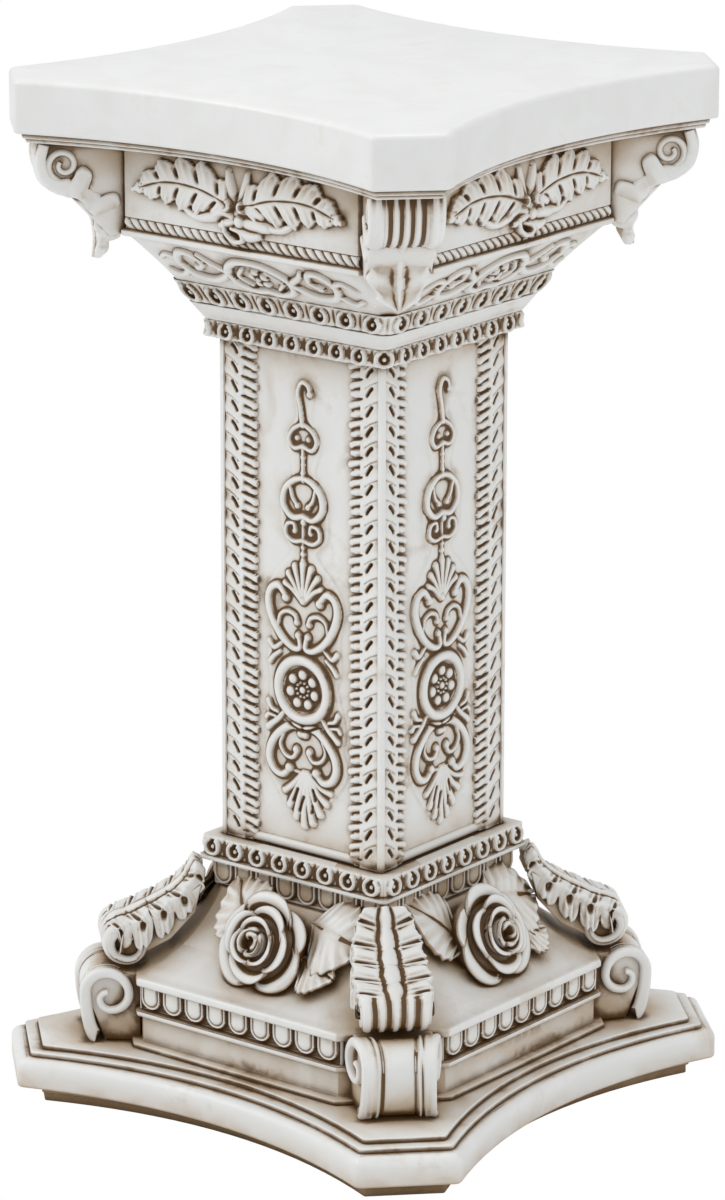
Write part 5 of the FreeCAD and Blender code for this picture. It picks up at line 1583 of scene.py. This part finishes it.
@dataclass
class Roses:
    """Roses and their leaves on the slope of the base."""

    level: float = 52.4
    stand: float = 45.2
    tilt: float = 24.0
    thickness: float = 1.3
    petals: tuple[Petal, ...] = (
        Petal(212, 15.3, 112, 3.4, 2.2), Petal(322, 15.3, 114, 3.8, 2.2), Petal(28, 14.6, 100, 3.0, 1.9),
        Petal(88, 15.0, 112, 4.4, 2.2), Petal(150, 14.4, 98, 3.2, 1.8),
        Petal(258, 11.2, 128, 6.2, 2.0), Petal(350, 10.8, 120, 6.6, 1.9), Petal(64, 10.9, 122, 6.4, 1.9),
        Petal(160, 11.0, 128, 6.5, 2.0),
        Petal(210, 7.0, 160, 8.2, 1.4), Petal(330, 6.9, 160, 8.3, 1.4), Petal(90, 7.0, 160, 8.2, 1.4),
        Petal(150, 3.9, 215, 9.1, 0.7), Petal(330, 3.6, 215, 9.2, 0.6), Petal(40, 1.9, 290, 9.3, 0.2),
    )

    def petal_mesh(self, petal: Petal) -> bpy.types.Mesh:
        """Curved sheet of one petal, round the +Z axis, thickened."""

        def place(u: Points, v: Points) -> Points:
            """Place of a point of the sheet."""
            side = (u - 0.5) * 2.0
            round_off = np.clip(1.0 - np.abs(side) ** 2.4, 0.0, 1.0) ** 0.55
            rise = v * (0.25 + 0.75 * round_off)
            angle = np.radians(petal.turn + side * petal.sweep / 2)
            foot = petal.radius * 0.42
            reach = petal.radius * (0.975 + 0.045 * side)
            spread = foot + (reach - foot) * rise**1.1
            lip = petal.curl * np.clip((rise - 0.70) / 0.30, 0.0, 1.0) ** 2
            wave = 0.22 * np.sin(side * 4.0 + petal.turn) * rise
            r = np.maximum(spread + lip * 0.40 + wave, 0.3)
            h = petal.height * (1.0 - (1.0 - rise) ** 1.6) - lip * 0.75 - 1.6 * (1 - rise)
            return np.stack([r * np.cos(angle), r * np.sin(angle), h], axis=1)

        mesh = sheet("petal", 26, 18, place)
        bm = bmesh.new()
        bm.from_mesh(mesh)
        bmesh.ops.remove_doubles(bm, verts=bm.verts, dist=0.01)
        bmesh.ops.recalc_face_normals(bm, faces=bm.faces)
        bmesh.ops.solidify(bm, geom=bm.faces[:], thickness=self.thickness)
        bmesh.ops.recalc_face_normals(bm, faces=bm.faces)
        bm.to_mesh(mesh)
        bm.free()
        return mesh

    def cup(self) -> bpy.types.Mesh:
        """Filling behind the petals."""
        bm = bmesh.new()
        bmesh.ops.create_uvsphere(bm, u_segments=28, v_segments=16, radius=11.8)
        bmesh.ops.scale(bm, vec=(1.0, 1.0, 0.62), verts=bm.verts)
        bmesh.ops.translate(bm, vec=(0.0, 0.0, -2.0), verts=bm.verts)
        return mesh_from(bm, "cup")

    def flower(self) -> bpy.types.Mesh:
        """Whole rose, facing out of the front slope and tipped up."""
        mesh = merged("rose", [self.petal_mesh(petal) for petal in self.petals] + [self.cup()])
        tip_up = Matrix.Rotation(math.radians(90.0 - self.tilt), 4, "X")
        mesh.transform(Matrix.Translation((0.0, -self.stand, self.level)) @ tip_up)
        return mesh

    def leaves(self) -> bpy.types.Mesh:
        """Two toothed, veined leaves that lie on the slope beside the rose."""
        blades = []
        for root, tip, arch, half in (
            ((-7.0, 49.5), (-20.5, 64.5), 2.2, 8.6),
            ((9.0, 58.0), (30.0, 55.0), 2.6, 8.8),
            ((11.0, 50.0), (24.5, 47.5), 1.6, 5.2),
        ):
            blades.append(self._blade(root, tip, arch, half))
        return merged("leaves", blades)

    @staticmethod
    def _blade(root: tuple[float, float], tip: tuple[float, float], arch: float,
               half: float) -> bpy.types.Mesh:
        """One leaf as a thickened sheet over the slope.

        Args:
            root: stalk end as x and z.
            tip: tip as x and z.
            arch: how far its middle stands off the slope.
            half: half width at its widest.

        Returns:
            Closed mesh in millimetres.
        """
        start, end = np.array(root), np.array(tip)
        along = end - start
        long = float(np.linalg.norm(along))
        along /= long
        out = np.array([-along[1], along[0]])

        def place(u: Points, v: Points) -> Points:
            """Place of a point of the sheet."""
            side = (u - 0.5) * 2.0
            tooth = 1.0 + 0.13 * np.abs(((v * 8.0) % 1.0) - 0.25) * 1.3
            span = half * np.sin(np.pi * np.clip(v, 0.015, 0.985) ** 0.82) * tooth
            x = start[0] + along[0] * long * v + out[0] * span * side + along[0] * 1.4 * np.abs(side)
            z = start[1] + along[1] * long * v + out[1] * span * side + along[1] * 1.4 * np.abs(side)
            slope = 57.4 - (z - 38.5) * (57.4 - 32.6) / 22.5
            bow = 3.0 * np.sin(np.pi * np.clip((z - 38.5) / 22.5, 0.0, 1.0))
            ribs = 0.28 * np.cos((v - 0.16 * np.abs(side)) * 2 * np.pi * 7.0) * np.abs(side)
            lift = 1.3 + arch * np.sin(np.pi * v) * (1.0 - 0.55 * side**2) + 1.1 * np.abs(side) * v + ribs
            mid = -0.5 * np.exp(-((side / 0.09) ** 2))
            return np.stack([x, -(slope - bow + lift + mid), z + 0.5 * lift], axis=1)

        mesh = sheet("blade", 24, 44, place)
        bm = bmesh.new()
        bm.from_mesh(mesh)
        back = extruded(bm, bm.faces[:])
        bmesh.ops.translate(bm, verts=back, vec=(0.0, 1.0, -0.7))
        bmesh.ops.recalc_face_normals(bm, faces=bm.faces)
        bm.to_mesh(mesh)
        bm.free()
        return mesh

    def build(self, ornament: bpy.types.Material) -> None:
        """Makes the roses and their leaves."""
        flower, leaves = self.flower(), self.leaves()
        for side in Side:
            make_piece(f"rose_bloom_{label(side)}", flower, ornament, [f"rose_{label(side)}"], side.value)
            make_piece(f"rose_foliage_{label(side)}", leaves, ornament, [f"rose_leaves_{label(side)}"],
                       side.value)


@dataclass
class Capital:
    """Bell, rope moulding and frieze, with the ornament that lies on them."""

    low_half: float = 39.4
    high_half: float = 54.5
    frieze_half: float = 55.5
    frieze_chamfer: float = 14.5

    def carcass(self, finish: bpy.types.Material, ornament: bpy.types.Material) -> None:
        """Bell, fillet, rope bed and frieze."""
        base, head = high("upper_beads"), low("rope_moulding")
        rows = [(self.low_half - 3.4, base), (self.low_half - 0.2, base + 0.05)]
        for share in np.linspace(0.06, 1.0, 9):
            rows.append((self.low_half + (self.high_half - self.low_half) * share**1.08,
                         base + (head - base) * share))

        def bell_cut(half: float) -> float:
            """Leg of the bell's cut corners."""
            return float(np.interp(half, [self.low_half, self.high_half], [3.4, 14.2]))

        make_piece("bell_cast", shaped_ring("bell", rows, bell_cut), finish, ["bell"])
        low_z, high_z = low("rope_moulding"), high("rope_moulding")
        half, cut = self.frieze_half, self.frieze_chamfer
        profile = [(half + 0.2, low_z), (half + 0.8, low_z + 0.3), (half + 0.8, low_z + 1.6),
                   (half + 0.1, low_z + 1.9), (half - 0.9, low_z + 2.2), (half - 0.9, high_z - 0.4),
                   (half, high_z)]
        make_piece("rope_bed", shaped_ring("rope", profile, lambda h: cut), ornament, ["rope_moulding"])
        frieze = [(half - 0.1, high_z + 0.01), (half, high_z + 0.3), (half, high("capital_frieze") - 0.1)]
        make_piece("frieze_cast", shaped_ring("frieze", frieze, lambda h: cut), finish, ["capital_frieze"])

    def rope(self) -> bpy.types.Mesh:
        """Twisted rope over the fillet, as a relief of slanting strands."""
        lower, upper = low("rope_moulding") + 2.0, high("rope_moulding") + 0.2
        f = Relief(-41.0, lower, 82.0, upper - lower, 0.22)
        share = (f.z - lower) / (upper - lower)
        dome = np.sqrt(np.clip(1 - (2 * share - 1) ** 2, 0, 1))
        strand = np.abs(((f.x + (f.z - lower) * 0.8) / 3.1) % 1.0 - 0.5) * 2.0
        f.depth = dome * (0.35 + 0.95 * np.sqrt(np.clip(1 - strand**2, 0, 1)))

        def wrap(x: Points, z: Points, depth: Points) -> Points:
            """Place of a relief point."""
            return np.stack([x, -(self.frieze_half - 1.0 + depth), z], axis=1)

        return f.mesh("rope", wrap)

    def spray(self) -> bpy.types.Mesh:
        """Two acanthus leaves and an open bloom with a ribbon over the rope."""
        f = Relief(-41.0, 258.6, 82.0, 23.2, 0.28)
        for hand in (-1.0, 1.0):
            f.leaf([(hand * 3.0, 269.6), (hand * 13.0, 272.6), (hand * 25.0, 273.0), (hand * 36.5, 269.6)],
                   8.2, 2.1, 5)
            f.stroke([(hand * 1.0, 269.6), (hand * 2.6, 274.0), (hand * 3.4, 278.6)], 1.5, 1.0, 1.8, 0.0,
                     0.5)
            f.stroke([(hand * 3.0, 267.8), (hand * 9.0, 265.4), (hand * 15.0, 264.8), (hand * 19.0, 266.4)],
                     1.5, 0.9, 1.7, 0.0, 0.5)
        bloom = [((0.6, 267.4), (4.4, 269.0), (8.6, 267.8), 2.3),
                 ((1.4, 265.2), (6.0, 265.0), (10.4, 264.6), 2.2),
                 ((0.4, 263.2), (4.0, 261.8), (7.2, 262.0), 1.9),
                 ((-0.6, 266.0), (-4.0, 267.6), (-7.4, 266.4), 1.9),
                 ((0.6, 265.4), (-3.0, 264.6), (-5.6, 263.4), 1.5)]
        for first, second, third, half in bloom:
            f.stroke([first, second, third], half * 0.9, half * 0.8, 2.3, 0.0, 0.5)
        f.ball(1.4, 265.4, 2.4, 3.0)
        f.stroke([(-4.4, 264.6), (-3.6, 261.6), (-0.6, 259.6), (2.2, 260.2), (1.4, 262.4), (-1.6, 263.0)],
                 0.95, 0.9, 2.4)
        f.carve([(-2.6, 262.4), (0.4, 261.2)], 0.6, 1.6)

        def wrap(x: Points, z: Points, depth: Points) -> Points:
            """Place of a relief point."""
            return np.stack([x, -(self.frieze_half + np.minimum(depth, 3.4)), z], axis=1)

        return f.mesh("spray", wrap)

    def scrolls(self) -> bpy.types.Mesh:
        """Oval scroll with a rosette and C scrolls to either side, on the bell."""
        base, head = high("upper_beads"), low("rope_moulding")
        f = Relief(-37.0, base + 0.2, 74.0, head - base - 0.6, 0.28)
        z0 = (base + head) / 2 - 0.4
        for hand in (-1.0, 1.0):
            oval = [(0.0, z0 + 5.2), (5.6, z0 + 4.4), (10.6, z0 + 1.0), (9.6, z0 - 3.2), (4.4, z0 - 4.9),
                    (0.0, z0 - 4.4)]
            f.stroke([(hand * x, z) for x, z in oval], 0.95, 0.95, 2.0, 0.0, 0.2)
            f.stroke([(hand * x, z0 + z) for x, z in ((4.2, 2.6), (7.6, -0.4), (4.8, -3.0))], 0.65, 0.65,
                     1.5)
            arm = [(9.4, 1.6), (13.6, -1.8), (19.0, -3.6), (25.0, -2.6), (27.6, 1.4), (25.0, 4.8),
                   (20.6, 4.6), (19.0, 1.8), (21.4, 0.0)]
            f.stroke([(hand * x, z0 + z) for x, z in arm], 1.0, 0.75, 2.0, 0.0, 0.3)
            f.ball(hand * 21.6, z0 + 0.2, 1.25, 1.9)
            f.stroke([(hand * x, z0 + z) for x, z in ((11.6, 0.4), (15.6, 2.6), (18.2, 5.0))], 1.0, 0.7,
                     1.7)
            f.stroke([(hand * x, z0 + z) for x, z in ((26.4, -1.6), (30.6, -3.8), (34.0, -2.6))], 1.0, 0.7,
                     1.6)
            f.stroke([(hand * x, z0 + z) for x, z in ((27.6, 2.4), (31.4, 3.0), (34.6, 1.2))], 0.9, 0.6,
                     1.5)
        for index in range(5):
            a = math.radians(90 + 72 * index)
            f.ball(2.1 * math.cos(a), z0 + 2.1 * math.sin(a), 1.25, 1.9)
        f.ball(0.0, z0, 0.9, 2.3)

        def wrap(x: Points, z: Points, depth: Points) -> Points:
            """Place of a relief point."""
            share = (z - base) / (head - base)
            plane = self.low_half + (self.high_half - self.low_half) * np.clip(share, 0, 1) ** 1.08
            return np.stack([x, -(plane + depth * 0.80), z - depth * 0.30], axis=1)

        return f.mesh("bell_scrolls", wrap)

    def build(self, finish: bpy.types.Material, ornament: bpy.types.Material) -> None:
        """Makes the capital."""
        self.carcass(finish, ornament)
        rope, spray, scrolls = self.rope(), self.spray(), self.scrolls()
        for side in Side:
            make_piece(f"rope_{label(side)}", rope, ornament, [], side.value)
            make_piece(f"leaf_spray_cast_{label(side)}", spray, ornament, [f"leaf_spray_{label(side)}"],
                       side.value)
            make_piece(f"bell_scrolls_{label(side)}", scrolls, ornament, [f"cove_scroll_{label(side)}"],
                       side.value)


# ----------------------------------------------------------------------
# studio
# ----------------------------------------------------------------------


@dataclass(frozen=True)
class Studio:
    """Camera fitted to the photograph, white surroundings and lamps.

    Attributes:
        place: place of the camera, in metres.
        aim: point that it looks at, in metres.
        lens: focal length on a 36 mm sensor.
        roll: turn about its axis in degrees.
        sky: strength of the light from all round.
    """

    place: tuple[float, float, float] = (0.9143, -1.1725, 0.5779)
    aim: tuple[float, float, float] = (-0.00031, -0.00024, 0.1448)
    lens: float = 162.0
    roll: float = 0.10
    sky: float = 0.64

    def camera(self) -> None:
        """Camera of the photograph."""
        data = bpy.data.cameras.new("camera")
        data.lens, data.sensor_width, data.sensor_fit = self.lens, 36.0, "AUTO"
        data.clip_start, data.clip_end = 0.05, 20.0
        camera = bpy.data.objects.new("camera", data)
        place, aim = Vector(self.place), Vector(self.aim)
        look = (aim - place).to_track_quat("-Z", "Y").to_matrix().to_4x4()
        roll = Matrix.Rotation(math.radians(self.roll), 4, "Z")
        camera.matrix_world = Matrix.Translation(place) @ look @ roll
        bpy.context.scene.collection.objects.link(camera)
        bpy.context.scene.camera = camera

    @staticmethod
    def _white_to_camera(tree: bpy.types.NodeTree, lit: bpy.types.NodeSocket, white: bpy.types.NodeSocket,
                         target: bpy.types.NodeSocket) -> None:
        """Shows the camera plain white and everything else the lit shader."""
        ray = tree.nodes.new("ShaderNodeLightPath")
        mix = tree.nodes.new("ShaderNodeMixShader")
        tree.links.new(ray.outputs["Is Camera Ray"], mix.inputs["Fac"])
        tree.links.new(lit, mix.inputs[1])
        tree.links.new(white, mix.inputs[2])
        tree.links.new(mix.outputs["Shader"], target)

    def floor(self) -> None:
        """White floor, plain white to the camera and lit for all other rays."""
        bm = bmesh.new()
        bmesh.ops.create_grid(bm, x_segments=1, y_segments=1, size=6.0)
        mesh = mesh_from(bm, "floor")
        floor = bpy.data.objects.new("floor", mesh)
        floor.location.z = -0.0001
        bpy.context.scene.collection.objects.link(floor)
        material = bpy.data.materials.new("floor_white")
        material.use_nodes = True
        tree = material.node_tree
        shader = tree.nodes["Principled BSDF"]
        shader.inputs["Base Color"].default_value = (0.9, 0.9, 0.9, 1.0)
        shader.inputs["Roughness"].default_value = 0.9
        glow = tree.nodes.new("ShaderNodeEmission")
        glow.inputs["Color"].default_value = (1.0, 1.0, 1.0, 1.0)
        self._white_to_camera(tree, shader.outputs["BSDF"], glow.outputs["Emission"],
                              tree.nodes["Material Output"].inputs["Surface"])
        mesh.materials.append(material)

    def world(self) -> None:
        """White background for the camera, softer light for the rest."""
        world = bpy.data.worlds.new("world")
        bpy.context.scene.world = world
        world.use_nodes = True
        tree = world.node_tree
        light = tree.nodes["Background"]
        light.inputs["Color"].default_value = (0.96, 0.98, 1.0, 1.0)
        light.inputs["Strength"].default_value = self.sky
        white = tree.nodes.new("ShaderNodeBackground")
        white.inputs["Color"].default_value = (1.0, 1.0, 1.0, 1.0)
        self._white_to_camera(tree, light.outputs["Background"], white.outputs["Background"],
                              tree.nodes["World Output"].inputs["Surface"])

    def lamp(self, name: str, place: tuple[float, float, float], size: float, power: float) -> None:
        """Square soft lamp that looks at the stand: place and size in metres, power in watts."""
        data = bpy.data.lights.new(name, "AREA")
        data.shape, data.size, data.energy = "SQUARE", size, power
        lamp = bpy.data.objects.new(name, data)
        aim = Vector((0.0, 0.0, 0.15))
        look = (aim - Vector(place)).to_track_quat("-Z", "Y").to_matrix().to_4x4()
        lamp.matrix_world = Matrix.Translation(place) @ look
        bpy.context.scene.collection.objects.link(lamp)

    def build(self) -> None:
        """Makes camera, floor, world and lamps."""
        self.camera()
        self.floor()
        self.world()
        self.lamp("key", (-1.3, -1.1, 1.5), 1.1, 16.0)
        self.lamp("fill", (1.4, -0.3, 0.9), 1.4, 5.0)
        self.lamp("top", (0.0, 0.3, 1.8), 1.0, 7.0)
        view = bpy.context.scene.view_settings
        view.view_transform = "Standard"


def main() -> None:
    """Builds the stand and its studio."""
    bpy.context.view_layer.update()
    Studio().build()
    group = wash_and_shade_group()
    stone = cast_material(Finish("antique_white", amount=0.95, smears=0.45), group)
    ornament = cast_material(Finish("antique_ornament", amount=1.0, smears=0.22, reach=0.0038), group)
    slab = cast_material(Finish("satin_slab", amount=0.3, smears=0.05, reach=0.002, roughness=0.36), group)
    dark = cast_material(Finish("foot_grey", body=(0.34, 0.32, 0.29), smears=0.5, amount=0.8), group)
    Foundation().build(stone, dark, slab)
    Block().build(stone)
    Rings().build(stone, ornament)
    ShaftPanels().build(stone, ornament)
    CornerScrolls().build(ornament)
    Roses().build(ornament)
    Capital().build(stone, ornament)


if __name__ == "__main__":
    main()
